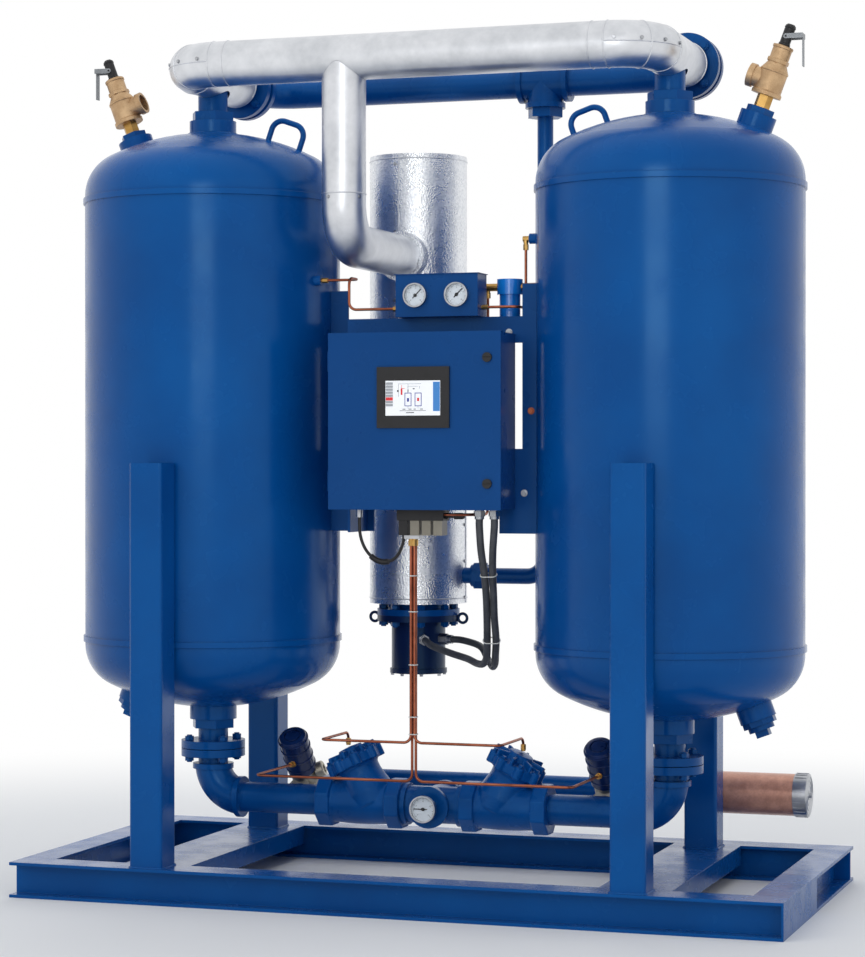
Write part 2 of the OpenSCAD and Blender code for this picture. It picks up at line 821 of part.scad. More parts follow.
// Branch of a threaded fitting with its end band
module fitting_arm(p, d, reach) {
    rod(p, d, fitting_od, 0, reach);
    rod(p, d, band_od, reach - band_w, reach);
}

function outlet_path(over) = [
    [-tower_x, check_back_y - over, header_z], [-tower_x, rear_y, header_z],
    [tower_x, rear_y, header_z], [tower_x, check_back_y - over, header_z],
];
tee_centre = [purge_x, rear_y, header_z];
thread_l = 34;

module outlet_header() {
    color(paint) difference() {
        union() {
            route(outlet_path(0), bend_r, pipe_od);
            for (d = [[1, 0, 0], [-1, 0, 0], [0, 0, -1], [0, 1, 0]]) fitting_arm(tee_centre, d, tee_reach);
        }
        route(outlet_path(cut), bend_r, pipe_id);
        rod(tee_centre, [0, 0, -1], branch_id, 0, tee_reach + cut);
        rod(tee_centre, [0, 1, 0], branch_id, 0, tee_reach + cut);
        rod(tee_centre, [0, 1, 0], pipe_od, tee_reach - thread_l, tee_reach + cut);
    }
}

union_l = 34;
union_x = heater_x + heater_od / 2 + 34;

module purge_line() {
    reducer_z = header_z - tee_reach;
    reducer_h = 28;
    path = [[purge_x, rear_y, reducer_z], [purge_x, rear_y, purge_z], [heater_x, rear_y, purge_z]];
    bore = purge_od - 8;
    color(paint) difference() {
        union() {
            route(path, purge_bend_r, purge_od);
            prism([purge_x, rear_y, reducer_z], [0, 0, -1], fitting_od, 6, 0, reducer_h);
            prism([union_x, rear_y, purge_z], [1, 0, 0], 1.75 * purge_od, 8, 0, union_l);
            rod([union_x, rear_y, purge_z], [1, 0, 0], 1.4 * purge_od, -10, union_l + 10);
        }
        route([path[0] + [0, 0, cut], path[1], path[2]], purge_bend_r, bore);
        translate([heater_x, rear_y, 0]) cylinder(r = vessel_r + seat_gap, h = header_z);
    }
}

module heater_vessel() {
    color("slategray") translate([heater_x, rear_y, 0]) difference() {
        union() {
            translate([0, 0, vessel_flange_z]) cylinder(d = vessel_od, h = vessel_top - vessel_flange_z);
            translate([0, 0, vessel_flange_z]) cylinder(d = heater_flange_od, h = heater_flange_t);
        }
        translate([0, 0, vessel_flange_z - cut])
            cylinder(d = vessel_od - 2 * vessel_wall, h = vessel_top - vessel_flange_z - vessel_wall + cut);
        rod([0, 0, hot_z], [0, -1, 0], branch_id, 0, vessel_od);
        rod([0, 0, purge_z], [1, 0, 0], purge_od - 8, 0, vessel_od);
        translate([0, 0, vessel_flange_z - cut]) on_circle(heater_pcd, 8)
            cylinder(d = bolt_hole, h = heater_flange_t + 2 * cut);
    }
}

collar_l = 24;
collar_w = 12;

module heater_lagging() {
    color(lagging_tone) translate([heater_x, rear_y, 0]) difference() {
        union() {
            translate([0, 0, heater_z]) cylinder(d = heater_od, h = heater_h, $fn = round_fn);
            rod([0, 0, hot_z], [0, -1, 0], drop_lagging_od + 2 * collar_w,
                vessel_od / 2, heater_od / 2 + collar_l);
        }
        translate([0, 0, heater_z - cut])
            cylinder(d = vessel_od + 2 * seat_gap, h = vessel_top - heater_z + 2 * cut);
        rod([0, 0, hot_z], [0, -1, 0], branch_od + 2 * seat_gap, 0, heater_od);
        difference() {
            rod([0, 0, hot_z], [0, -1, 0], drop_lagging_od + 2 * seat_gap, 0, heater_od);
            translate([0, 0, heater_z]) cylinder(d = heater_od, h = heater_h, $fn = round_fn);
        }
        rod([0, 0, purge_z], [1, 0, 0], purge_od + 2 * seat_gap, 0, heater_od);
    }
}

module heater_elements() {
    rod_ring_r = 46;
    rod_spread = 50;
    rod_top = vessel_top - 250;
    eye_r = 14;
    eye_bar = 9;
    eye_x = heater_flange_od / 2 + eye_r + eye_bar / 4;
    color("lightsteelblue") translate([heater_x, rear_y, 0]) {
        difference() {
            translate([0, 0, element_flange_z]) cylinder(d = heater_flange_od, h = heater_flange_t);
            translate([0, 0, element_flange_z - cut]) on_circle(heater_pcd, 8)
                cylinder(d = bolt_hole, h = heater_flange_t + 2 * cut);
        }
        for (k = [0 : 2]) rotate(120 * k) route([
            [rod_ring_r, -rod_spread / 2, vessel_flange_z], [rod_ring_r, -rod_spread / 2, rod_top],
            [rod_ring_r, rod_spread / 2, rod_top], [rod_ring_r, rod_spread / 2, vessel_flange_z],
        ], rod_spread / 2 - 4, rod_d);
        for (s = sides)
            translate([s * eye_x, 0, vessel_flange_z - heater_flange_t / 2])
            rotate([90, 0, 0]) rotate_extrude() translate([eye_r, 0]) circle(d = eye_bar, $fn = 24);
    }
}

function connector_axis(turn) = [cos(turn), sin(turn), 0];
connector_z = 710;
connector_hole = 16;

module terminal_housing() {
    rim_t = 5;
    rim_h = 14;
    color("midnightblue") translate([heater_x, rear_y, 0]) difference() {
        union() {
            translate([0, 0, housing_z]) cylinder(d = housing_od, h = housing_h);
            translate([0, 0, housing_z]) cylinder(d = housing_od + 2 * rim_t, h = rim_h);
        }
        translate([0, 0, housing_z + housing_wall])
            cylinder(d = housing_od - 2 * housing_wall, h = housing_h - housing_wall + cut);
        for (turn = [left_connector_turn, right_connector_turn])
            rod([0, 0, connector_z], connector_axis(turn), connector_hole, 0, housing_od);
    }
}

// Bracket plate from an edge to its tower
module bracket_plate(s, y, edge, from, to) {
    low = s < 0 ? -tower_x : edge;
    high = s < 0 ? edge : tower_x;
    translate([low, y, from]) cube([high - low, plate_t, to - from]);
}

bracket_bottom = box_z - 68;
bracket_top = cross_bar_top + 92;
cross_bar_z = cross_bar_top - cross_bar_h;
step_z = box_z + 172;
left_tab_edge = box_left + 32;
right_tab_edge = box_right - 50;
left_ear_edge = box_left - 49;
right_ear_edge = box_right + 18;
arm_x = box_left + 4;
left_plate_y = tower_y - plate_t;

module enclosure_bracket() {
    color(paint) difference() {
        union() {
            bracket_plate(left, left_plate_y, left_tab_edge, bracket_bottom, step_z);
            bracket_plate(left, left_plate_y, left_tab_edge, cross_bar_z, cross_bar_top);
            bracket_plate(left, left_plate_y, left_ear_edge, bracket_bottom, bracket_top);
            bracket_plate(right, box_back, right_tab_edge, bracket_bottom, step_z);
            bracket_plate(right, box_back, right_ear_edge, bracket_bottom, bracket_top);
            bracket_plate(right, box_back, arm_x, cross_bar_z, cross_bar_top);
            translate([arm_x, box_back, cross_bar_top - plate_t])
                cube([right_ear_edge - arm_x + plate_t, cross_bar_d, plate_t]);
            translate([arm_x, box_back, bracket_bottom])
                cube([plate_t, tower_y - box_back, cross_bar_top - bracket_bottom]);
            translate([right_ear_edge, box_back, bracket_bottom])
                cube([plate_t, cross_bar_d, bracket_top - bracket_bottom]);
        }
        for (s = sides) translate([s * tower_x, tower_y, 0])
            cylinder(r = tower_r + seat_gap, h = header_z, $fn = round_fn);
    }
}

module enclosure_box() {
    w = box_w - 2 * door_lap;
    h = box_h - 2 * door_lap;
    x = box_left + door_lap;
    z = box_z + door_lap;
    leaf_t = 3;
    color(paint) difference() {
        union() {
            translate([x, rim_y, z]) cube([w, box_back - rim_y, h]);
            for (zh = [box_z + hinge_inset, box_top - hinge_inset]) {
                translate([hinge_x, hinge_y, zh - knuckle_l]) cylinder(r = hinge_r, h = knuckle_l);
                translate([hinge_x, rim_y, zh - knuckle_l])
                    cube([hinge_r + door_lap + box_sheet, leaf_t, knuckle_l]);
                translate([hinge_x, hinge_y, zh - knuckle_l]) cylinder(r = hinge_pin_r, h = 2 * knuckle_l);
            }
        }
        translate([x + box_sheet, rim_y + box_sheet, z + box_sheet])
            cube([w - 2 * box_sheet, box_back - rim_y - 2 * box_sheet, h - 2 * box_sheet]);
        translate([x + box_sheet + lip_w, rim_y - cut, z + box_sheet + lip_w])
            cube([w - 2 * (box_sheet + lip_w), box_sheet + 2 * cut, h - 2 * (box_sheet + lip_w)]);
    }
}

hmi_cut_w = hmi_w - 2 * hmi_frame;
hmi_cut_h = hmi_h - 2 * hmi_frame;

module enclosure_door() {
    leaf_t = 3;
    back = box_front + door_depth;
    color(paint) difference() {
        union() {
            difference() {
                translate([box_left, box_front, box_z]) cube([box_w, door_depth, box_h]);
                translate([box_left + door_sheet, box_front + door_sheet, box_z + door_sheet])
                    cube([box_w - 2 * door_sheet, door_depth, box_h - 2 * door_sheet]);
            }
            for (zh = [box_z + hinge_inset, box_top - hinge_inset]) translate([0, 0, zh + move_gap]) {
                translate([hinge_x, hinge_y, 0]) cylinder(r = hinge_r, h = knuckle_l);
                translate([hinge_x, back - leaf_t, 0]) cube([hinge_r + door_sheet, leaf_t, knuckle_l]);
            }
        }
        for (zh = [box_z + hinge_inset, box_top - hinge_inset])
            translate([hinge_x, hinge_y, zh]) cylinder(r = hinge_pin_r + run_gap, h = 2 * knuckle_l);
        for (z = latch_heights)
            rod([latch_x, box_front, z], [0, 1, 0], latch_d + 2 * run_gap, -cut, door_sheet + cut);
        translate([box_x - hmi_cut_w / 2, box_front - cut, hmi_z - hmi_cut_h / 2])
            cube([hmi_cut_w, door_sheet + 2 * cut, hmi_cut_h]);
    }
}

// Quarter-turn latch, its cam down when it is undone
module latch(z) {
    head_t = 6;
    shaft_back = cam_y + cam_t;
    color("silver") {
        difference() {
            rod([latch_x, box_front, z], [0, 1, 0], latch_head_d, -head_t - move_gap, -move_gap);
            translate([latch_x - latch_head_d / 2, box_front - head_t - move_gap - cut, z - 2])
                cube([latch_head_d, 3, 4]);
        }
        rod([latch_x, box_front, z], [0, 1, 0], latch_d, -move_gap, shaft_back - box_front);
        translate([latch_x - latch_d / 2, cam_y, z - cam_reach]) cube([latch_d, cam_t, cam_reach]);
    }
}

module upper_latch() {
    latch(latch_heights[0]);
}

module lower_latch() {
    latch(latch_heights[1]);
}

module operator_panel() {
    w = hmi_cut_w - 4 * seat_gap;
    h = hmi_cut_h - 4 * seat_gap;
    screen_w = hmi_w - 50;
    screen_h = hmi_h - 72;
    screen_rise = -2;
    recess = 1.5;
    color("black") {
        difference() {
            translate([box_x - hmi_w / 2, box_front - hmi_t, hmi_z - hmi_h / 2]) cube([hmi_w, hmi_t, hmi_h]);
            translate([box_x - screen_w / 2, box_front - hmi_t - cut, hmi_z + screen_rise - screen_h / 2])
                cube([screen_w, recess + cut, screen_h]);
        }
        translate([box_x - w / 2, box_front, hmi_z - h / 2]) cube([w, hmi_depth, h]);
    }
}

module control_plate() {
    inset = 28;
    plate_w = box_w - 2 * inset;
    plate_h = box_h - 2 * inset;
    thick = 3;
    stand = 10;
    inner_back = box_back - box_sheet;
    face = inner_back - stand - thick;
    row_rises = [90, 230, 360];
    module_w = 46;
    module_h = 84;
    module_d = 52;
    module_pitch = 60;
    color("lightgray") {
        translate([box_x - plate_w / 2, face, box_z + inset]) cube([plate_w, thick, plate_h]);
        for (a = [-1, 1], b = [-1, 1])
            rod([box_x + a * (plate_w / 2 - 20), face, box_z + box_h / 2 + b * (plate_h / 2 - 20)],
                [0, 1, 0], 12, 0, stand + thick);
        for (rise = row_rises, k = [-2 : 2]) translate([
            box_x + k * module_pitch - module_w / 2, face - module_d, box_z + rise - module_h / 2,
        ]) cube([module_w, module_d, module_h]);
    }
}

tap_line_z = cross_bar_top + 26;
gauge_line_y = panel_front + 40;
function panel_port(s) = [panel_x + s * (panel_w / 2 - panel_sheet), gauge_line_y, tap_line_z];

module gauge_panel() {
    low = [panel_x - panel_w / 2, panel_front, cross_bar_top];
    lip = 4;
    color(paint) difference() {
        union() {
            translate(low) cube([panel_w, panel_d, panel_h - panel_sheet]);
            translate(low + [-lip, -lip, panel_h - panel_sheet])
                cube([panel_w + 2 * lip, panel_d + lip, panel_sheet]);
        }
        translate(low + [panel_sheet, panel_sheet, panel_sheet])
            cube([panel_w - 2 * panel_sheet, panel_d, panel_h - 3 * panel_sheet + seat_gap]);
        for (x = gauge_xs) rod([x, panel_front, gauge_z], [0, 1, 0], gauge_od - 18, -cut, panel_sheet + cut);
        for (s = sides) rod([panel_x, gauge_line_y, tap_line_z], [s, 0, 0], tube_d + 2, 0, panel_w);
    }
}

// Gauge case facing the front, with a stem behind it
module gauge_case(p, od, back_d, back_l, stem_d, stem_l) {
    dial_t = 4;
    along(p, [0, -1, 0]) {
        difference() {
            cylinder(d = od, h = gauge_depth);
            translate([0, 0, dial_t]) cylinder(d = od - 2 * bezel_w, h = gauge_depth);
        }
        cylinder(d = post_d, h = gauge_depth - 4);
        translate([0, 0, -back_l]) cylinder(d = back_d, h = back_l);
        translate([0, 0, -stem_l]) cylinder(d = stem_d, h = stem_l);
    }
}

// Pointer that turns on a gauge's post
module pointer(p, od, turn) {
    back = 5;
    thick = 1.5;
    tip = od / 2 - bezel_w - 6;
    tail = od / 6;
    color("black") along(p, [0, -1, 0]) rotate(-turn) difference() {
        union() {
            translate([0, 0, back]) cylinder(d = 2.4 * post_d, h = thick + 1);
            translate([-1.2, -tail, back]) cube([2.4, tail + tip, thick]);
        }
        translate([0, 0, back - cut]) cylinder(d = post_d + 2 * run_gap, h = gauge_depth);
    }
}

module pressure_gauges() {
    color("whitesmoke") for (x = gauge_xs)
        gauge_case([x, panel_front, gauge_z], gauge_od, gauge_od - 20, 30, 14, gauge_line_y - panel_front);
}

module left_gauge_pointer() {
    pointer([gauge_xs[0], panel_front, gauge_z], gauge_od, pointer_turn);
}

module right_gauge_pointer() {
    pointer([gauge_xs[1], panel_front, gauge_z], gauge_od, pointer_turn);
}

tee_front = 68;
inlet_bush_l = 14;
inlet_stem_l = 22;
inlet_gauge_y = tower_y - tee_front - inlet_bush_l - inlet_stem_l;

module inlet_gauge() {
    p = [0, inlet_gauge_y, manifold_z];
    color("whitesmoke") {
        gauge_case(p, inlet_gauge_od, inlet_gauge_od - 12, 6, 20, inlet_stem_l);
        prism(p, [0, 1, 0], 60, 6, inlet_stem_l, inlet_stem_l + inlet_bush_l);
    }
}

module inlet_gauge_pointer() {
    pointer([0, inlet_gauge_y, manifold_z], inlet_gauge_od, -2 * pointer_turn);
}

filter_x = box_right - 42;
filter_y = box_back + 78;
filter_head_z = cross_bar_top + 66;
filter_head_h = 44;
filter_head_d = 74;
filter_bowl_d = 60;
filter_bowl_h = 130;
tube_d = 8;
drop_tubes = [filter_x - 84, filter_x - 66];
boss_d = 22;
fitting_z = filter_head_z + 22;

module pilot_filter() {
    head = [filter_x, filter_y, filter_head_z];
    color("dodgerblue") difference() {
        union() {
            translate(head) cylinder(d = filter_head_d, h = filter_head_h);
            translate(head - [0, 0, filter_bowl_h]) cylinder(d = filter_bowl_d, h = filter_bowl_h);
            rod([filter_x, filter_y, fitting_z], [1, 0, 0], boss_d, 0, tower_r);
            rod([filter_x, filter_y, fitting_z], [-1, 0, 0], boss_d, 0,
                filter_x - drop_tubes[0] + boss_d / 2);
            translate([filter_x - boss_d, box_back + cross_bar_d, cross_bar_top - plate_t])
                cube([2 * boss_d, filter_y - box_back - cross_bar_d, plate_t]);
        }
        translate([tower_x, tower_y, 0]) cylinder(r = tower_r + seat_gap, h = header_z, $fn = round_fn);
    }
}

module solenoid_manifold() {
    coil_w = 26;
    coil_count = 4;
    coil_pitch = manifold_w / coil_count;
    low = [manifold_x - manifold_w / 2, manifold_y - manifold_d / 2, coil_z + coil_h];
    color("dimgray") {
        translate(low) cube([manifold_w, manifold_d, manifold_bar_h]);
        for (k = [0 : coil_count - 1]) translate(low + [(k + 0.5) * coil_pitch - coil_w / 2, 4, -coil_h])
            cube([coil_w, manifold_d - 8, coil_h]);
        translate([bundle_x - 2 * bundle_gap, low[1] + 8, bundle_top])
            cube([4 * bundle_gap, manifold_d - 16, coil_z - bundle_top]);
    }
}

manifold_d = 56;
manifold_y = box_front + 84;
manifold_bar_h = 34;
coil_h = 42;
coil_z = box_z + door_lap - manifold_bar_h - coil_h;
tube_front = manifold_y - 8;
bundle_gap = 11;
tube_back = tube_front + bundle_gap;
elbow_d = 16;
elbow_l = 12;
bundle_x = box_x - 28;
bundle_top = coil_z - 10;
upper_split_z = manifold_z + 204;
tube_bend_r = 22;

// Copper tube along points
module tube(pts) {
    route(pts, tube_bend_r, tube_d);
}

// Places where the pilot tubes meet the valves
bonnet_axis = [sin(bonnet_lean), 0, cos(bonnet_lean)];
bonnet_base_p = [bonnet_x, tower_y, manifold_z];
bonnet_cap_h = 34;
bonnet_top = bonnet_rise + bonnet_t + bonnet_cap_h;
bonnet_tip = bonnet_base_p + bonnet_axis * bonnet_top;
bonnet_tube_x = round(bonnet_tip[0]);
bonnet_tube_z = round(bonnet_tip[2] + tube_d / 2 * tan(bonnet_lean) + 0.5);
actuator_axis = [0, -sin(actuator_lean), cos(actuator_lean)];
seat_p = [exhaust_x, seat_y, manifold_z];
actuator_port_z = round(manifold_z + cos(actuator_lean) * (actuator_rise + 26));
actuator_mid_y = seat_y - sin(actuator_lean) * (actuator_rise + 26);
actuator_port_y = round(actuator_mid_y - actuator_od / 2 / cos(actuator_lean) - 10);

module pilot_tubes() {
    bar_z = coil_z + coil_h + manifold_bar_h / 2;
    manifold_end = manifold_x + manifold_w / 2;
    color("peru") {
        for (s = sides) {
            tube_x = bundle_x + s * bundle_gap / 2;
            tube([
                [tube_x, tube_front, bundle_top], [tube_x, tube_front, upper_split_z],
                [s * bonnet_tube_x, tube_front, upper_split_z], [s * bonnet_tube_x, tower_y, upper_split_z],
                [s * bonnet_tube_x, tower_y, bonnet_tube_z],
            ]);
            tube([
                [tube_x, tube_back, bundle_top], [tube_x, tube_back, actuator_port_z],
                [s * exhaust_x, tube_back, actuator_port_z],
                [s * exhaust_x, actuator_port_y, actuator_port_z],
            ]);
        }
        left_tap = tap_end(left);
        rise = box_left + 16;
        tube([
            panel_port(left), [rise, gauge_line_y, tap_line_z],
            [rise, gauge_line_y, left_tap[2]], [rise, left_tap[1], left_tap[2]], left_tap,
        ]);
        right_tap = tap_end(right);
        corner = right_tap - [elbow_l, 0, 0];
        tube([
            panel_port(right), [corner[0], gauge_line_y, tap_line_z],
            [corner[0], corner[1], tap_line_z], corner,
        ]);
        rod(right_tap, [-1, 0, 0], elbow_d, 0, elbow_l + elbow_d / 2);
        rod(corner, [0, 0, -1], elbow_d - 1, 0, elbow_l);
        for (k = [0, 1]) {
            end_y = manifold_y + 14 - 28 * k;
            tube([
                [drop_tubes[k], filter_y, fitting_z - boss_d / 2], [drop_tubes[k], filter_y, bar_z],
                [drop_tubes[k], end_y, bar_z], [manifold_end, end_y, bar_z],
            ]);
        }
    }
}

module conduit_fittings() {
    gland_d = 34;
    connector_end = 125;
    color("silver") {
        for (p = [left_conduit_points[0], right_conduit_points[0]]) {
            translate(p) cylinder(d = conduit_d + 6, h = box_z + door_lap - p[2]);
            prism(p, [0, 0, 1], gland_d, 6, 8, box_z + door_lap - p[2] - 6);
        }
        translate(cable_points[0]) cylinder(d = 2 * cable_d, h = box_z + door_lap - cable_points[0][2]);
        for (turn = [left_connector_turn, right_connector_turn]) difference() {
            union() {
                rod([heater_x, rear_y, connector_z], connector_axis(turn), conduit_d + 6,
                    housing_od / 4, connector_end);
                prism([heater_x, rear_y, connector_z], connector_axis(turn), gland_d, 6,
                    housing_od / 4, connector_end - 16);
            }
            translate([heater_x, rear_y, 0]) cylinder(d = housing_od + 2 * seat_gap, h = heater_z);
        }
    }
}

module left_conduit() {
    color("dimgray") cord(left_conduit_points, conduit_d);
}

module right_conduit() {
    color("dimgray") cord(right_conduit_points, conduit_d);
}

module solenoid_cable() {
    color("black") cord(cable_points, cable_d);
}

// Piping from a tower's lower coupling to its inlet valve
module inlet_piping(s) {
    axis = [s * tower_x, tower_y, 0];
    down = [0, 0, -1];
    path = [[s * tower_x, tower_y, nozzle_bottom], [s * tower_x, tower_y, manifold_z],
        [s * valve_x, tower_y, manifold_z]];
    elbow_end = [s * (tower_x - elbow_reach), tower_y, manifold_z];
    color(paint) difference() {
        union() {
            route(path, elbow_reach, pipe_od);
            prism(axis, [0, 0, 1], bush_d, 6, nozzle_bottom - bush_h, nozzle_bottom);
            rod(axis, [0, 0, 1], nozzle_bore - 2 * seat_gap, nozzle_bottom, nozzle_bottom + nozzle_step);
            for (z = [stack_top - flange_t, stack_bottom])
                translate(axis + [0, 0, z]) cylinder(d = flange_od, h = flange_t);
            translate(axis + [0, 0, stack_bottom]) cylinder(d = check_od - 4, h = stack_top - stack_bottom);
            route([
                [s * tower_x, tower_y, stack_bottom - stack_hub_l], [s * tower_x, tower_y, manifold_z],
                elbow_end,
            ], elbow_reach, fitting_od);
            rod([s * tower_x, tower_y, stack_bottom - stack_hub_l], down, band_od, 0, band_w);
            rod(elbow_end, [s, 0, 0], band_od, 0, band_w);
        }
        route([path[0] + [0, 0, nozzle_step + cut], path[1], path[2] - [s * cut, 0, 0]],
            elbow_reach, pipe_id);
        rod([s * exhaust_x, tower_y, manifold_z], [0, 1, 0], exhaust_od - 8, 0, pipe_od);
        translate(axis + [0, 0, stack_bottom - cut]) on_circle(flange_pcd, 4)
            cylinder(d = bolt_hole, h = stack_top - stack_bottom + 2 * cut);
    }
}

module left_inlet_piping() {
    inlet_piping(left);
}

module right_inlet_piping() {
    inlet_piping(right);
}

inlet_reach = 100;

module inlet_tee() {
    centre = [0, tower_y, manifold_z];
    color(paint) difference() {
        union() {
            for (s = sides) fitting_arm(centre, [s, 0, 0], cross_reach);
            fitting_arm(centre, [0, -1, 0], tee_front);
            fitting_arm(centre, [0, 1, 0], inlet_reach);
        }
        rod(centre, [1, 0, 0], pipe_id, -cross_reach - cut, cross_reach + cut);
        rod(centre, [0, 1, 0], branch_id, 0, inlet_reach + cut);
        rod(centre, [0, 1, 0], pipe_od, inlet_reach - thread_l, inlet_reach + cut);
    }
}

// Air-operated valve with its bonnet leaning outward
module inlet_valve(s) {
    start = [s * cross_reach, tower_y, manifold_z];
    base = flip(bonnet_base_p, s);
    axis = flip(bonnet_axis, s);
    neck_d = valve_body_d - 6;
    chamber_d = neck_d - 24;
    guide_z = bonnet_rise - 8;
    guide_top = bonnet_base + plug_t + plug_stem_l + inlet_travel + 6;
    color(paint) difference() {
        union() {
            prism(start, [s, 0, 0], valve_end_d, 8, 0, valve_end_l);
            prism(start, [s, 0, 0], valve_end_d, 8, valve_l - valve_end_l, valve_l);
            rod(start, [s, 0, 0], valve_body_d, valve_end_l, valve_l - valve_end_l);
            rod(base, axis, neck_d, 0, bonnet_rise);
            rod(base, axis, bonnet_od, bonnet_rise, bonnet_rise + bonnet_t);
            rod(base, axis, bonnet_od - 46, bonnet_rise, bonnet_rise + bonnet_t + bonnet_cap_h / 2);
            rod(base, axis, bonnet_od / 2, bonnet_rise, bonnet_top);
        }
        rod(start, [s, 0, 0], pipe_id, -cut, valve_l + cut);
        rod(base, axis, chamber_d, 0, guide_z);
        rod(base, axis, plug_stem_d + 2 * run_gap, guide_z - cut, guide_top);
    }
}

module left_inlet_valve() {
    inlet_valve(left);
}

module right_inlet_valve() {
    inlet_valve(right);
}

// Plug and stem that slide along a bonnet's axis
module inlet_plug(s) {
    base = flip(bonnet_base_p, s);
    axis = flip(bonnet_axis, s);
    plug_d = valve_body_d - 38;
    color("silver") {
        rod(base, axis, plug_d, bonnet_base, bonnet_base + plug_t);
        rod(base, axis, plug_stem_d, bonnet_base, bonnet_base + plug_t + plug_stem_l);
    }
}

module left_inlet_plug() {
    inlet_plug(left);
}

module right_inlet_plug() {
    inlet_plug(right);
}

exhaust_end_l = 34;
exhaust_body_l = 150;
exhaust_base = 30;
exhaust_chamber_d = 50;

// Angle-seat valve with its actuator leaning to the front
module exhaust_valve(s) {
    seat = flip(seat_p, s);
    start = [seat[0], tower_y, manifold_z];
    low = seat_y - tower_y - exhaust_body_l / 2;
    high = low + exhaust_body_l;
    far = exhaust_y - exhaust_tee_reach - tower_y;
    body_d = exhaust_od + 16;
    end_d = exhaust_od + 34;
    guide_top = exhaust_base + exhaust_plug_t + exhaust_stem_l + exhaust_travel + 6;
    color("slategray") difference() {
        union() {
            rod(start, [0, 1, 0], exhaust_od, 0, far);
            prism(start, [0, 1, 0], end_d, 8, low, low + exhaust_end_l);
            prism(start, [0, 1, 0], end_d, 8, high - exhaust_end_l, high);
            rod(start, [0, 1, 0], body_d, low, high);
            rod(seat, actuator_axis, body_d, 0, actuator_rise);
            rod(seat, actuator_axis, actuator_od, actuator_rise, actuator_rise + actuator_l);
            rod(seat, actuator_axis, actuator_od / 2, actuator_rise, actuator_rise + actuator_l + 8);
            rod([seat[0], actuator_mid_y, actuator_port_z], [0, -1, 0], 18,
                0, actuator_mid_y - actuator_port_y);
        }
        rod(start, [0, 1, 0], exhaust_od - 8, 0, far + cut);
        rod([-tower_x, tower_y, manifold_z], [1, 0, 0], pipe_od + 2 * seat_gap, 0, 2 * tower_x);
        rod(seat, actuator_axis, exhaust_chamber_d, 0, actuator_rise - 20);
        rod(seat, actuator_axis, exhaust_stem_d + 2 * run_gap, 0, guide_top);
    }
}

module left_exhaust_valve() {
    exhaust_valve(left);
}

module right_exhaust_valve() {
    exhaust_valve(right);
}

module exhaust_plug(s) {
    seat = flip(seat_p, s);
    color("silver") {
        rod(seat, actuator_axis, exhaust_chamber_d - 4, exhaust_base, exhaust_base + exhaust_plug_t);
        rod(seat, actuator_axis, exhaust_stem_d, exhaust_base,
            exhaust_base + exhaust_plug_t + exhaust_stem_l);
    }
}

module left_exhaust_plug() {
    exhaust_plug(left);
}

module right_exhaust_plug() {
    exhaust_plug(right);
}

exhaust_tee_reach = 54;

module exhaust_manifold() {
    tee_d = exhaust_od + 16;
    tee_band_d = exhaust_od + 26;
    start = [-exhaust_x, exhaust_y, manifold_z];
    color(paint) difference() {
        union() {
            rod(start, [1, 0, 0], exhaust_od, -exhaust_tee_reach, muffler_x + exhaust_x);
            for (s = sides) {
                tee = [s * exhaust_x, exhaust_y, manifold_z];
                rod(tee, [1, 0, 0], tee_d, -exhaust_tee_reach, exhaust_tee_reach);
                rod(tee, [0, -1, 0], tee_d, 0, exhaust_tee_reach);
                for (d = [[1, 0, 0], [-1, 0, 0], [0, -1, 0]])
                    rod(tee, d, tee_band_d, exhaust_tee_reach - band_w, exhaust_tee_reach);
            }
        }
        rod(start, [1, 0, 0], exhaust_od - 8, 0, muffler_x + exhaust_x + cut);
        for (s = sides)
            rod([s * exhaust_x, exhaust_y, manifold_z], [0, -1, 0], exhaust_od - 9,
                0, exhaust_tee_reach + cut);
    }
}

module muffler() {
    start = [muffler_x, exhaust_y, manifold_z];
    rib_count = 24;
    wall = 4;
    cap_d = muffler_od + 4;
    rib_w = 4;
    rib_h = 2;
    rib_inset = 3;
    color("saddlebrown") difference() {
        union() {
            rod(start, [1, 0, 0], muffler_od, 0, muffler_l);
            rod(start, [1, 0, 0], cap_d, muffler_l, muffler_l + muffler_cap_l);
            along(start, [1, 0, 0]) for (k = [0 : rib_count - 1]) rotate(360 * k / rib_count)
                translate([cap_d / 2 - wall, -rib_w / 2, muffler_l + rib_inset])
                    cube([wall + rib_h, rib_w, muffler_cap_l - 2 * rib_inset]);
        }
        rod(start, [1, 0, 0], muffler_od - 2 * wall, wall, muffler_l);
        rod(start, [1, 0, 0], exhaust_od - 8, -cut, wall + cut);
    }
}

// Axis and foot of a relief valve on its tower's upper outer port
function relief_axis(s) = port_axis(s, 1);
function relief_foot(s) = port_foot(s, 1) + relief_axis(s) * port_h;
function relief_pin(s) = relief_foot(s) + relief_axis(s) * relief_pin_z;

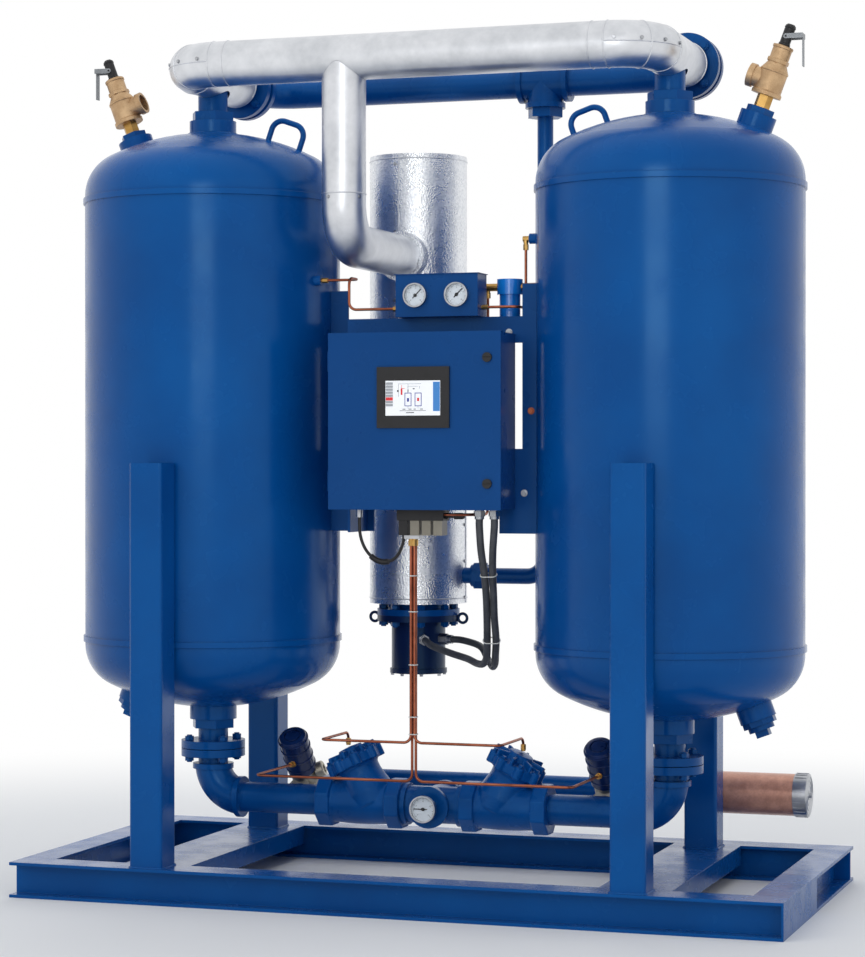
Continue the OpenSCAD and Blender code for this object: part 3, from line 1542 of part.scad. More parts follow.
module relief_valves() {
    body_r = relief_d / 2;
    bonnet_r = relief_bonnet_d / 2;
    cap_r = relief_cap_d / 2;
    nipple_d = 46;
    rim = 4;
    outlet_bore = relief_outlet_d - 16;
    for (s = sides) {
        foot = relief_foot(s);
        axis = relief_axis(s);
        outlet = [-s * cos(port_lean), 0, sin(port_lean)];
        outlet_p = foot + axis * relief_outlet_z;
        color("goldenrod") difference() {
            union() {
                prism(foot, axis, 80, 6, 0, relief_bush_h);
                rod(foot, axis, port_bore - 2 * seat_gap, -port_h / 2, cut);
                prism(foot, axis, nipple_d, 6, relief_bush_h - cut, relief_body_z + cut);
                along(foot, axis) rotate_extrude() polygon([
                    [0, relief_body_z], [body_r + rim, relief_body_z], [body_r + rim, relief_body_z + 10],
                    [body_r, relief_body_z + 14], [body_r, relief_cone_z], [bonnet_r, relief_bonnet_z],
                    [bonnet_r, relief_cap_z - 8], [bonnet_r - 7, relief_cap_z], [cap_r, relief_cap_z],
                    [cap_r, relief_top_z - 5], [cap_r - 5, relief_top_z], [0, relief_top_z],
                ]);
                rod(outlet_p, outlet, relief_outlet_d - 8, 0, relief_outlet_l);
                rod(outlet_p, outlet, relief_outlet_d, relief_outlet_l - 16, relief_outlet_l);
                rod(relief_pin(s), [0, 1, 0], lever_pin_d, -fork_y - fork_t - 2, fork_y + fork_t + 2);
            }
            rod(outlet_p, outlet, outlet_bore, 12, relief_outlet_l + cut);
        }
    }
}

// Lever with a fork on a relief valve's pin
module relief_lever(s) {
    pin = relief_pin(s);
    strap_h = 14;
    blade_w = 20;
    blade_t = 3;
    color("lightgray") translate(pin) difference() {
        union() {
            for (b = [-1, 1]) {
                translate([0, b * (fork_y + fork_t / 2), 0]) {
                    translate([s > 0 ? 0 : -lever_reach, -fork_t / 2, -strap_h / 2])
                        cube([lever_reach, fork_t, strap_h]);
                    rod([0, -fork_t / 2, 0], [0, 1, 0], strap_h, 0, fork_t);
                }
            }
            translate([s > 0 ? lever_reach : -lever_reach - blade_t, -fork_y - fork_t, -strap_h / 2])
                cube([blade_t, 2 * (fork_y + fork_t), strap_h]);
            translate([s > 0 ? lever_reach : -lever_reach - blade_t, -blade_w / 2, strap_h / 2 - lever_l])
                cube([blade_t, blade_w, lever_l]);
        }
        rod([0, 0, 0], [0, 1, 0], lever_pin_d + 2 * run_gap, -2 * fork_y, 2 * fork_y);
    }
}

module left_relief_lever() {
    relief_lever(left);
}

module right_relief_lever() {
    relief_lever(right);
}

// Bolt through a joint of one thickness, with a nut on each side
module flange_bolt(grip) {
    reach = nut_h + bolt_tail;
    translate([0, 0, -reach]) cylinder(d = bolt_d, h = grip + 2 * reach, $fn = 24);
    translate([0, 0, -nut_h]) cylinder(d = nut_d, h = nut_h, $fn = 6);
    translate([0, 0, grip]) cylinder(d = nut_d, h = nut_h, $fn = 6);
}

module flange_bolts() {
    color("gray") {
        for (s = sides) {
            translate([s * tower_x, tower_y, stack_bottom]) on_circle(flange_pcd, 4)
                flange_bolt(stack_top - stack_bottom);
            along([s * tower_x, run_y, header_z], [0, 1, 0]) on_circle(flange_pcd, 4)
                flange_bolt(2 * flange_t + check_l);
        }
        translate([heater_x, rear_y, element_flange_z]) on_circle(heater_pcd, 8)
            flange_bolt(2 * heater_flange_t);
    }
}

front_rail();
rear_rail();
end_rails();
cross_members();
front_legs();
rear_legs();
left_tower();
right_tower();
desiccant_beds();
bed_screens();
port_plugs();
regen_pipework();
header_lagging();
elbow_laggings();
drop_lagging();
left_check_valve();
right_check_valve();
outlet_header();
purge_line();
heater_vessel();
heater_lagging();
heater_elements();
terminal_housing();
enclosure_bracket();
enclosure_box();
enclosure_door();
upper_latch();
lower_latch();
operator_panel();
control_plate();
gauge_panel();
pressure_gauges();
left_gauge_pointer();
right_gauge_pointer();
inlet_gauge();
inlet_gauge_pointer();
pilot_filter();
solenoid_manifold();
pilot_tubes();
conduit_fittings();
left_conduit();
right_conduit();
solenoid_cable();
left_inlet_piping();
right_inlet_piping();
inlet_tee();
left_inlet_valve();
right_inlet_valve();
left_inlet_plug();
right_inlet_plug();
left_exhaust_valve();
right_exhaust_valve();
left_exhaust_plug();
right_exhaust_plug();
exhaust_manifold();
muffler();
relief_valves();
left_relief_lever();
right_relief_lever();
flange_bolts();
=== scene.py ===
import math

import bmesh
import bpy
from mathutils import Matrix, Vector


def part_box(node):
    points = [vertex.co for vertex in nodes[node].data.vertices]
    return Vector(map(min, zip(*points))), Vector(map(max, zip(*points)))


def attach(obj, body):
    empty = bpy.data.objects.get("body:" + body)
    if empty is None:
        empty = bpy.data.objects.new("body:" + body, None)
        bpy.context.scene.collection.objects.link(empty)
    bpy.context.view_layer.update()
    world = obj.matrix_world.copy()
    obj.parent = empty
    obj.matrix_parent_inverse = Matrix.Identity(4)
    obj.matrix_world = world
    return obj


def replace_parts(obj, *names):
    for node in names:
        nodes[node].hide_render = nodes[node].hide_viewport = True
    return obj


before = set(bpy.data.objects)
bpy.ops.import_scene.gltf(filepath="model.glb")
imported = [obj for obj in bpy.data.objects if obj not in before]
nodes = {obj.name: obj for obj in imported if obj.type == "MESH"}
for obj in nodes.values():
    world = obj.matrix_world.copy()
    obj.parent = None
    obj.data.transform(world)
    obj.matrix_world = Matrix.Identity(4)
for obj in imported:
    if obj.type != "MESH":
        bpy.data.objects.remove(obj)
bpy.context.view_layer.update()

scene = bpy.context.scene
fullTurn = 2 * math.pi
mergeGap = 1e-6
print("frame loaded,", len(nodes), "nodes")


# Stands a camera or lamp in the scene, looking along a direction
def standAt(name, data, spot, ahead):
    thing = bpy.data.objects.new(name, data)
    thing.location = spot
    thing.rotation_mode = "QUATERNION"
    thing.rotation_quaternion = ahead.to_track_quat("-Z", "Y")
    scene.collection.objects.link(thing)
    return thing


# Camera, standing to the right of the front and a little below the middle of the towers
viewpoint = {"azimuth": 18.49, "down": 0.32, "place": (2.449, -7.391, 1.248), "lens": 99.8, "reach": 80}


def makeCamera(s):
    turn, dip = math.radians(s["azimuth"]), math.radians(s["down"])
    ahead = Vector((-math.sin(turn) * math.cos(dip), math.cos(turn) * math.cos(dip), -math.sin(dip)))
    data = bpy.data.cameras.new("camera")
    data.lens = s["lens"]
    data.clip_end = s["reach"]
    scene.camera = standAt("camera", data, s["place"], ahead)


makeCamera(viewpoint)
scene.view_settings.view_transform = "Standard"


# Node helpers, for shader and geometry trees alike
def add(tree, kind, ins=None, **props):
    node = tree.nodes.new(kind)
    for key, value in props.items():
        setattr(node, key, value)
    for key, value in (ins or {}).items():
        if isinstance(value, bpy.types.NodeSocket):
            tree.links.new(value, node.inputs[key])
        else:
            node.inputs[key].default_value = value
    return node


def made(tree, kind, ins=None, **props):
    return add(tree, kind, ins, **props).outputs[0]


def calc(tree, operation, *values):
    return made(tree, "ShaderNodeMath", dict(enumerate(values)), operation=operation)


def scaled(tree, vector, factor):
    return made(tree, "ShaderNodeVectorMath", {0: vector, "Scale": factor}, operation="SCALE")


def feed(tree, inputs, sockets):
    for label, socket in sockets.items():
        tree.links.new(socket, inputs[label])


def setAll(inputs, values):
    for label, value in values.items():
        inputs[label].default_value = value


# A node group. An input's kind follows its start value; a kind in words has no start value
socketKinds = {tuple: "Color", int: "Int", float: "Float"}


def newGroup(name, treeKind, ins, outs):
    group = bpy.data.node_groups.new(name, treeKind)
    for label, value in ins.items():
        kind = value if isinstance(value, str) else socketKinds[type(value)]
        socket = group.interface.new_socket(label, in_out="INPUT", socket_type="NodeSocket" + kind)
        if kind != value:
            socket.default_value = value
    for label, kind in outs.items():
        group.interface.new_socket(label, in_out="OUTPUT", socket_type="NodeSocket" + kind)
    return group, group.nodes.new("NodeGroupInput").outputs, group.nodes.new("NodeGroupOutput").inputs


def rgb(*levels):
    def linear(c):
        c /= 255
        return c / 12.92 if c <= 0.04045 else ((c + 0.055) / 1.055) ** 2.4
    return (*(linear(c) for c in levels), 1.0)


def objectCoords(tree):
    return add(tree, "ShaderNodeTexCoord").outputs["Object"]


def mixTone(tree, factor, first, second):
    return add(tree, "ShaderNodeMix", {0: factor, 6: first, 7: second}, data_type="RGBA").outputs[2]


def noise(tree, coords, scale, detail=3.0, rough=0.55):
    ins = {"Vector": coords, "Scale": scale, "Detail": detail, "Roughness": rough}
    return add(tree, "ShaderNodeTexNoise", ins).outputs["Fac"]


def spread(tree, value, low, high, newLow=0.0, newHigh=1.0):
    ins = {"Value": value, "From Min": low, "From Max": high, "To Min": newLow, "To Max": newHigh}
    return add(tree, "ShaderNodeMapRange", ins).outputs["Result"]


# Every skin turns two tones, a gloss and sizes of its own into colour, roughness and height
def newSkin(name, sizes):
    ins = {"Tone": (0, 0, 0, 1), "Shade": (0, 0, 0, 1), "Gloss": 0.3, **sizes}
    return newGroup(name, "ShaderNodeTree", ins, {"Color": "Color", "Roughness": "Float", "Height": "Float"})


def skinTone(group, gin, level, span):
    return mixTone(group, spread(group, level, *span), gin["Shade"], gin["Tone"])


def skinGloss(group, gin, level, span):
    return calc(group, "ADD", spread(group, level, *span), gin["Gloss"])


# Sprayed paint: slow change of tone, orange peel and dust that settles on what faces up
paintLook = {
    "clouds": (2.6, 4.0), "cloudSpan": (0.35, 0.65), "specks": (38.0, 6.0, 0.7), "speckSpan": (0.42, 0.7),
    "upSpan": (0.55, 1.0), "dustTone": (150, 160, 172), "dustRough": 0.35,
    "smearScale": 9.0, "smearSpan": (0.35, 0.7, -0.05, 0.09), "peelDetail": 1.5,
}


def makePaintFilm(s):
    group, gin, gout = newSkin("paintFilm", {"Dust": 0.1, "Peel Scale": 240.0})
    coords = objectCoords(group)
    tone = skinTone(group, gin, noise(group, coords, *s["clouds"]), s["cloudSpan"])
    normal = add(group, "ShaderNodeNewGeometry").outputs["Normal"]
    upward = spread(group, add(group, "ShaderNodeSeparateXYZ", {0: normal}).outputs["Z"], *s["upSpan"])
    specks = spread(group, noise(group, coords, *s["specks"]), *s["speckSpan"])
    dust = calc(group, "MULTIPLY", calc(group, "MULTIPLY", upward, specks), gin["Dust"])
    handled = skinGloss(group, gin, noise(group, coords, s["smearScale"]), s["smearSpan"])
    rough = calc(group, "MULTIPLY_ADD", dust, s["dustRough"], handled)
    feed(group, gout, {"Color": mixTone(group, dust, tone, rgb(*s["dustTone"])), "Roughness": rough,
                       "Height": noise(group, coords, gin["Peel Scale"], s["peelDetail"])})
    return group


# Bare sheet or bar metal: rolling streaks, handling smudges and shallow dents
metalLook = {
    "streaks": (24.0, 5.0, 0.6), "streakShare": 0.5, "smudges": (7.0, 4.0, 0.6), "toneSpan": (0.55, 0.95),
    "smudgeSpan": (0.3, 0.7, -0.06, 0.1), "dentDetail": 2.0,
}


def makeMetalSkin(s):
    group, gin, gout = newSkin("metalSkin", {"Dent Scale": 18.0})
    coords = objectCoords(group)
    smudges = noise(group, coords, *s["smudges"])
    blend = calc(group, "MULTIPLY_ADD", noise(group, coords, *s["streaks"]), s["streakShare"], smudges)
    feed(group, gout, {"Color": skinTone(group, gin, blend, s["toneSpan"]),
                       "Roughness": skinGloss(group, gin, smudges, s["smudgeSpan"]),
                       "Height": noise(group, coords, gin["Dent Scale"], s["dentDetail"])})
    return group


# Sand casting: grain all over and a darker tone in its low spots
castLook = {"grain": (4.0, 0.65), "cloudScale": 30.0, "grainShare": 0.6, "toneSpan": (0.55, 1.0),
            "cloudSpan": (0.3, 0.7, -0.08, 0.1)}


def makeCastSkin(s):
    group, gin, gout = newSkin("castSkin", {"Grain Scale": 420.0})
    coords = objectCoords(group)
    grain = noise(group, coords, gin["Grain Scale"], *s["grain"])
    clouds = noise(group, coords, s["cloudScale"])
    blend = calc(group, "MULTIPLY_ADD", grain, s["grainShare"], clouds)
    feed(group, gout, {"Color": skinTone(group, gin, blend, s["toneSpan"]),
                       "Roughness": skinGloss(group, gin, clouds, s["cloudSpan"]), "Height": grain})
    return group


paintFilm, metalSkin, castSkin = makePaintFilm(paintLook), makeMetalSkin(metalLook), makeCastSkin(castLook)


def newMaterial(name):
    material = bpy.data.materials.new(name)
    material.use_nodes = True
    return material, material.node_tree, material.node_tree.nodes["Principled BSDF"]


def wearSkin(tree, skin, tone, shade, gloss, sizes=None):
    ins = {"Tone": rgb(*tone), "Shade": rgb(*shade), "Gloss": gloss, **(sizes or {})}
    return add(tree, "ShaderNodeGroup", ins, node_tree=skin).outputs


def bumped(tree, bump, height, **ins):
    return made(tree, "ShaderNodeBump", {"Strength": bump[0], "Distance": bump[1], "Height": height, **ins})


def wearLook(tree, principled, color, look, normal):
    feed(tree, principled.inputs, {"Base Color": color, "Roughness": look["Roughness"], "Normal": normal})


# A finish is one skin in front of a Principled shader, with rounded edges and a bump of (strength, depth)
def finish(name, skin, tone, shade, gloss, bump, edge, sizes=None, shader=None):
    material, tree, principled = newMaterial(name)
    look = wearSkin(tree, skin, tone, shade, gloss, sizes)
    setAll(principled.inputs, shader or {})
    rounded = made(tree, "ShaderNodeBevel", {"Radius": edge}, samples=4)
    wearLook(tree, principled, look["Color"], look, bumped(tree, bump, look["Height"], Normal=rounded))
    return material


# The paints' gloss is tinted sky blue: a painted reflection of an open sky
paintedSkyTint = (0.3, 0.72, 1.0, 1.0)
# The Specular Tint here is a painted sky reflection on every blue paint
coat = {"Coat Weight": 0.05, "Coat Roughness": 0.16, "Specular IOR Level": 0.32, "Specular Tint": paintedSkyTint}
bare = {"Metallic": 1.0}
bluePaint = finish("bluePaint", paintFilm, (4, 82, 156), (4, 72, 143), 0.23, (0.05, 0.001), 0.003,
                   {"Dust": 0.1}, coat)
boxPaint = finish("boxPaint", paintFilm, (12, 66, 132), (10, 61, 124), 0.3, (0.05, 0.001), 0.002,
                  {"Dust": 0.1}, coat)
pipePaint = finish("pipePaint", paintFilm, (5, 82, 156), (4, 64, 130), 0.27, (0.12, 0.001), 0.002,
                   {"Dust": 0.1, "Peel Scale": 150.0}, coat)
castPaint = finish("castPaint", paintFilm, (5, 86, 164), (3, 62, 128), 0.3, (0.35, 0.0015), 0.003,
                   {"Dust": 0.08, "Peel Scale": 330.0}, coat)
darkPaint = finish("darkPaint", paintFilm, (22, 40, 86), (14, 28, 64), 0.3, (0.08, 0.001), 0.0015,
                   {"Dust": 0.15}, coat)
filterBlue = finish("filterBlue", paintFilm, (26, 150, 250), (20, 130, 228), 0.2, (0.05, 0.0008), 0.0015,
                    {"Dust": 0.05}, {"Coat Weight": 0.6})
deviceGrey = finish("deviceGrey", paintFilm, (166, 160, 146), (140, 134, 120), 0.38, (0.08, 0.0006), 0.001,
                    {"Dust": 0.05})
dialWhite = finish("dialWhite", paintFilm, (214, 221, 228), (204, 212, 220), 0.35, (0.03, 0.0004), 0.0002,
                   {"Dust": 0.0})
laggingSkin = finish("laggingSkin", metalSkin, (226, 228, 232), (198, 201, 206), 0.36, (0.12, 0.004), 0.0015,
                     {"Dent Scale": 9.0}, bare)
zincSteel = finish("zincSteel", metalSkin, (196, 198, 202), (150, 153, 158), 0.32, (0.1, 0.0006), 0.0006,
                   {"Dent Scale": 160.0}, bare)
copperTube = finish("copperTube", metalSkin, (186, 112, 84), (132, 72, 54), 0.34, (0.08, 0.0008), 0.0004,
                    {"Dent Scale": 60.0}, bare)
brassFitting = finish("brassFitting", metalSkin, (212, 172, 104), (160, 120, 62), 0.3, (0.1, 0.0006), 0.0006,
                      {"Dent Scale": 120.0}, bare)
bronzeCast = finish("bronzeCast", castSkin, (212, 180, 140), (166, 132, 96), 0.46, (0.35, 0.0012), 0.002,
                    shader={"Metallic": 0.75})
leverGrey = finish("leverGrey", castSkin, (150, 154, 158), (112, 116, 120), 0.4, (0.25, 0.0008), 0.0008,
                   shader={"Metallic": 0.8})
mufflerSkin = finish("mufflerSkin", castSkin, (222, 164, 140), (190, 134, 112), 0.36, (0.1, 0.0008), 0.001,
                     {"Grain Scale": 160.0}, {"Metallic": 0.25, "Coat Weight": 0.25})
blackPlastic = finish("blackPlastic", castSkin, (30, 30, 33), (18, 18, 20), 0.42, (0.15, 0.0004), 0.001,
                      {"Grain Scale": 900.0}, {"Specular IOR Level": 0.4})
conduitSkin = finish("conduitSkin", castSkin, (78, 81, 86), (52, 54, 58), 0.48, (0.2, 0.0005), 0.0005,
                     {"Grain Scale": 500.0})
cableRubber = finish("cableRubber", castSkin, (26, 26, 28), (14, 14, 15), 0.5, (0.15, 0.0004), 0.0004,
                     {"Grain Scale": 700.0})
nylonTie = finish("nylonTie", castSkin, (236, 236, 232), (214, 214, 208), 0.4, (0.1, 0.0004), 0.0004,
                  {"Grain Scale": 600.0}, {"Subsurface Weight": 0.05})
actuatorBlue = finish("actuatorBlue", castSkin, (18, 48, 104), (11, 32, 76), 0.32, (0.1, 0.0006), 0.0015,
                      {"Grain Scale": 500.0}, {"Coat Weight": 0.3})
castSteel = finish("castSteel", castSkin, (198, 192, 176), (150, 144, 130), 0.42, (0.25, 0.001), 0.002,
                   {"Grain Scale": 300.0}, {"Metallic": 0.85})
inkBlack = finish("inkBlack", castSkin, (28, 29, 32), (18, 19, 21), 0.5, (0.05, 0.0003), 0.0001,
                  {"Grain Scale": 900.0})
beadWhite = finish("beadWhite", castSkin, (232, 230, 222), (205, 203, 195), 0.7, (0.6, 0.003), 0.001,
                   {"Grain Scale": 260.0})

# Stucco embossed aluminium: a pebbled bump, and some pebbles painted darker one by one, a painted shade and
# glint that stands in for flakes catching the light
stuccoLook = {
    "tone": (244, 246, 249), "shade": (230, 233, 237), "gloss": 0.26, "metallic": 0.85, "bump": (0.4, 0.002),
    "pebbleScale": 190.0, "pebbleShadeTone": (190, 196, 204), "pebbleShadeSpan": (0.4, 1.0, 0.0, 0.5),
}


def makeStucco(s):
    material, tree, principled = newMaterial("stuccoSkin")
    setAll(principled.inputs, {"Metallic": s["metallic"]})
    look = wearSkin(tree, metalSkin, s["tone"], s["shade"], s["gloss"])
    ins = {"Vector": objectCoords(tree), "Scale": s["pebbleScale"]}
    pebbles = add(tree, "ShaderNodeTexVoronoi", ins, feature="F1").outputs
    # Painted shade: each pebble's random value darkens it towards a grey, as if that pebble turned away from
    # the light
    pebbleShade = add(tree, "ShaderNodeSeparateXYZ", {0: pebbles["Color"]}).outputs["X"]
    color = mixTone(tree, spread(tree, pebbleShade, *s["pebbleShadeSpan"]), look["Color"], rgb(*s["pebbleShadeTone"]))
    wearLook(tree, principled, color, look, bumped(tree, s["bump"], pebbles["Distance"]))
    return material


glassLook = {"shader": {"Base Color": (0.98, 0.99, 1.0, 1.0), "Transmission Weight": 1.0, "IOR": 1.15},
             "smearScale": 40.0, "smearSpan": (0.3, 0.7, 0.02, 0.07)}


def makeGlass(s):
    material, tree, principled = newMaterial("gaugeGlass")
    setAll(principled.inputs, s["shader"])
    smears = noise(tree, objectCoords(tree), s["smearScale"])
    feed(tree, principled.inputs, {"Roughness": spread(tree, smears, *s["smearSpan"])})
    return material


stuccoSkin, gaugeGlass = makeStucco(stuccoLook), makeGlass(glassLook)

# Screen colours, lit from behind through a fine pixel grid
screenLook = {
    "pitch": 1400.0, "gridSpan": (0.0, 0.15, 0.82, 1.0), "glow": 0.35,
    "smearScale": 25.0, "smearSpan": (0.3, 0.7, 0.18, 0.3),
    "tones": {"screenWhite": (236, 239, 243), "screenGrey": (150, 154, 160), "screenRed": (205, 42, 48),
              "screenBlue": (46, 52, 140), "screenSky": (58, 124, 190), "screenDark": (40, 40, 48)},
}


def makePixels(s):
    group, gin, gout = newGroup("screenPixels", "ShaderNodeTree", {"Tone": (1, 1, 1, 1), "Pitch": s["pitch"]},
                                {"Color": "Color", "Roughness": "Float"})
    coords = objectCoords(group)
    cells = scaled(group, coords, gin["Pitch"])
    within = made(group, "ShaderNodeVectorMath", {0: cells}, operation="FRACTION")
    parts = add(group, "ShaderNodeSeparateXYZ", {0: within}).outputs
    grid = spread(group, calc(group, "MINIMUM", parts["X"], parts["Z"]), *s["gridSpan"])
    smears = spread(group, noise(group, coords, s["smearScale"]), *s["smearSpan"])
    feed(group, gout, {"Color": scaled(group, gin["Tone"], grid), "Roughness": smears})
    return group


screenPixels = makePixels(screenLook)


def screenInk(name, tone):
    material, tree, principled = newMaterial(name)
    setAll(principled.inputs, {"Emission Strength": screenLook["glow"]})
    look = add(tree, "ShaderNodeGroup", {"Tone": rgb(*tone)}, node_tree=screenPixels).outputs
    feed(tree, principled.inputs, {"Base Color": look["Color"], "Emission Color": look["Color"],
                                   "Roughness": look["Roughness"]})
    return material


screenInks = {name: screenInk(name, tone) for name, tone in screenLook["tones"].items()}
print("finishes made")

# Floor and light
studio = {
    "floorSize": 30.0,
    "floor": {"Base Color": (0.86, 0.87, 0.88, 1.0), "Roughness": 0.8, "Specular IOR Level": 0.1},
    "fadeStart": 1.9,           # metres from the middle where the floor starts to turn white
    "fadeEnd": 4.2,
    "sky": {"Color": (0.93, 0.96, 1.0, 1.0), "Strength": 0.34},
    "lamps": [                  # name, place, aim, size, watts
        ("keyLamp", (-3.6, -5.8, 4.6), (0, 0, 1.4), 4.2, 85),
        ("frontLamp", (1.0, -6.8, 2.6), (0, 0, 1.5), 2.2, 48),
        ("fillLamp", (5.8, -4.4, 3.0), (0, 0, 1.2), 4.4, 70),
        ("skyLamp", (0.0, 0.3, 7.0), (0, 0, 1.0), 9.0, 260),
        ("backLamp", (-1.5, 6.0, 4.2), (0, 0, 1.4), 4.0, 110),
    ],
    "mirrored": ["frontLamp"],  # the one lamp that gloss shows, beside the white backdrop
}


# Rays that show the white backdrop: what the camera sees, straight, through glass or in a reflection
def seenRays(tree):
    rays = add(tree, "ShaderNodeLightPath").outputs
    seen = rays["Is Camera Ray"]
    for label in ("Is Glossy Ray", "Is Transmission Ray"):
        seen = calc(tree, "MAXIMUM", seen, rays[label])
    return seen


def showWhite(tree, shown, plain, white, output):
    both = made(tree, "ShaderNodeMixShader", {0: shown, 1: plain.outputs[0], 2: white})
    tree.links.new(both, tree.nodes[output].inputs["Surface"])


def makeFloor(s):
    mesh = bpy.data.meshes.new("floor")
    half = s["floorSize"] / 2
    corners = [(-half, -half, 0), (half, -half, 0), (half, half, 0), (-half, half, 0)]
    mesh.from_pydata(corners, [], [(0, 1, 2, 3)])
    floor = bpy.data.objects.new("floor", mesh)
    scene.collection.objects.link(floor)
    material, tree, principled = newMaterial("paleFloor")
    setAll(principled.inputs, s["floor"])
    away = add(tree, "ShaderNodeVectorMath", {0: objectCoords(tree)}, operation="LENGTH").outputs["Value"]
    ins = {"Value": away, "From Min": s["fadeStart"], "From Max": s["fadeEnd"]}
    fade = add(tree, "ShaderNodeMapRange", ins, interpolation_type="SMOOTHSTEP").outputs["Result"]
    white = made(tree, "ShaderNodeEmission", {"Strength": 1.0})
    showWhite(tree, calc(tree, "MULTIPLY", fade, seenRays(tree)), principled, white, "Material Output")
    mesh.materials.append(material)


def makeLight(s):
    world = bpy.data.worlds.new("studioWorld")
    world.use_nodes = True
    scene.world = world
    tree = world.node_tree
    soft = tree.nodes["Background"]
    setAll(soft.inputs, s["sky"])
    white = made(tree, "ShaderNodeBackground", {"Color": (1, 1, 1, 1), "Strength": 1.0})
    showWhite(tree, seenRays(tree), soft, white, "World Output")
    for name, spot, aim, size, watts in s["lamps"]:
        data = bpy.data.lights.new(name, "AREA")
        data.size = size
        data.energy = watts
        lamp = standAt(name, data, spot, Vector(aim) - Vector(spot))
        lamp.visible_glossy = name in s["mirrored"]


makeFloor(studio)
makeLight(studio)
print("stage set")


# Mesh helpers: a piece from a mesh that has its materials, from a mesh with one, and from a bmesh
def placeMany(name, mesh, sharp=32, body="root"):
    for face in mesh.polygons:
        face.use_smooth = True
    mesh.set_sharp_from_angle(angle=math.radians(sharp))
    piece = bpy.data.objects.new(name, mesh)
    scene.collection.objects.link(piece)
    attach(piece, body)
    return piece


def place(name, mesh, material, sharp=32, body="root"):
    mesh.materials.clear()
    mesh.materials.append(material)
    return placeMany(name, mesh, sharp, body)


def bmeshTo(name, bm):
    bmesh.ops.remove_doubles(bm, verts=bm.verts, dist=mergeGap)
    bmesh.ops.recalc_face_normals(bm, faces=bm.faces)
    mesh = bpy.data.meshes.new(name)
    bm.to_mesh(mesh)
    bm.free()
    return mesh


def build(name, bm, material, sharp, body="root"):
    return place(name, bmeshTo(name, bm), material, sharp, body)


# The plain mesh that an object gives with its modifiers; the object itself goes
def settle(holder):
    scene.collection.objects.link(holder)
    mesh = bpy.data.meshes.new_from_object(holder.evaluated_get(bpy.context.evaluated_depsgraph_get()))
    bpy.data.objects.remove(holder)
    return mesh


def polar(radius, angle, height=0.0):
    return Vector((radius * math.cos(angle), radius * math.sin(angle), height))


def frameAlong(origin, axis):
    z = Vector(axis).normalized()
    nearlyUp = abs(z.z) > 0.9
    helper = Vector((1, 0, 0)) if nearlyUp else Vector((0, 0, 1))
    x = helper.cross(z).normalized()
    y = z.cross(x)
    rows = [(x[k], y[k], z[k], origin[k]) for k in range(3)]
    return Matrix((*rows, (0, 0, 0, 1)))


# Turns an outline of (radius, height) points about an axis
def turned(bm, outline, origin, axis, steps=64):
    matrix = frameAlong(origin, axis)
    rings = []
    for radius, height in outline:
        spots = [polar(radius, fullTurn * k / steps, height) for k in range(steps if radius > 0 else 1)]
        rings.append([bm.verts.new(matrix @ spot) for spot in spots])
    for low, high in zip(rings, rings[1:]):
        for k in range(steps):
            n = (k + 1) % steps
            corners = [low[k % len(low)], low[n % len(low)], high[n % len(high)], high[k % len(high)]]
            unique = list(dict.fromkeys(corners))
            if len(unique) > 2:
                bm.faces.new(unique)


def drum(bm, radius, low, high, origin, axis, steps=64):
    turned(bm, [(0, low), (radius, low), (radius, high), (0, high)], origin, axis, steps)


def circlePath(centre, axis, radius, count=72):
    matrix = frameAlong(centre, axis)
    return [matrix @ polar(radius, fullTurn * k / count) for k in range(count + 1)]


# Closed path round a box with rounded corners
def loopRound(low, high, z, r, steps=4):
    corners = [(high.x - r, high.y - r, 0), (low.x + r, high.y - r, 90),
               (low.x + r, low.y + r, 180), (high.x - r, low.y + r, 270)]
    path = []
    for x, y, start in corners:
        for k in range(steps + 1):
            angle = math.radians(start + 90 * k / steps)
            path.append(Vector((x + r * math.cos(angle), y + r * math.sin(angle), z)))
    return path + path[:1]


# Smooth path in metres through given points in mm
def smoothPath(points, step=0.004):
    pts = [Vector(p) * 0.001 for p in points]
    made = []
    for k in range(len(pts) - 1):
        a, b = pts[max(k - 1, 0)], pts[k]
        c, d = pts[k + 1], pts[min(k + 2, len(pts) - 1)]
        count = max(2, round((c - b).length / step))
        for i in range(count):
            t = i / count
            made.append(0.5 * (2 * b + (c - a) * t + (2 * a - 5 * b + 4 * c - d) * t * t
                               + (3 * b - a - 3 * c + d) * t ** 3))
    made.append(pts[-1])
    return made


# Geometry Nodes helpers
def newTree(name, sizes):
    return newGroup(name, "GeometryNodeTree", {"Geometry": "Geometry", **sizes, "Material": "Material"},
                    {"Geometry": "Geometry"})


def closeTree(tree, gin, gout, geometry):
    real = made(tree, "GeometryNodeRealizeInstances", {0: geometry})
    painted = made(tree, "GeometryNodeSetMaterial", {"Geometry": real, "Material": gin["Material"]})
    tree.links.new(painted, gout[0])
    return tree


def randomFloat(tree, low, high, seed):
    return add(tree, "FunctionNodeRandomValue", {2: low, 3: high, "Seed": seed}, data_type="FLOAT").outputs[1]


def aboutUp(tree, angle):
    return made(tree, "FunctionNodeAxisAngleToRotation", {"Axis": (0, 0, 1), "Angle": angle})


def copyOnto(tree, points, instance, rotation, scale=(1, 1, 1)):
    ins = {"Points": points, "Instance": instance, "Rotation": rotation, "Scale": scale}
    return made(tree, "GeometryNodeInstanceOnPoints", ins)


# Runs a tree over a start mesh and hands back the plain mesh
def grow(name, start, tree, values):
    holder = bpy.data.objects.new(name, start)
    modifier = holder.modifiers.new("grow", "NODES")
    modifier.node_group = tree
    sockets = {item.name: item.identifier for item in tree.interface.items_tree if item.in_out == "INPUT"}
    for label, value in values.items():
        modifier[sockets[label]] = value
    return settle(holder)


def wireMesh(name, paths):
    verts, edges = [], []
    for path in paths:
        first = len(verts)
        verts += [tuple(p) for p in path]
        edges += [(first + k, first + k + 1) for k in range(len(path) - 1)]
    mesh = bpy.data.meshes.new(name)
    mesh.from_pydata(verts, edges, [])
    return mesh


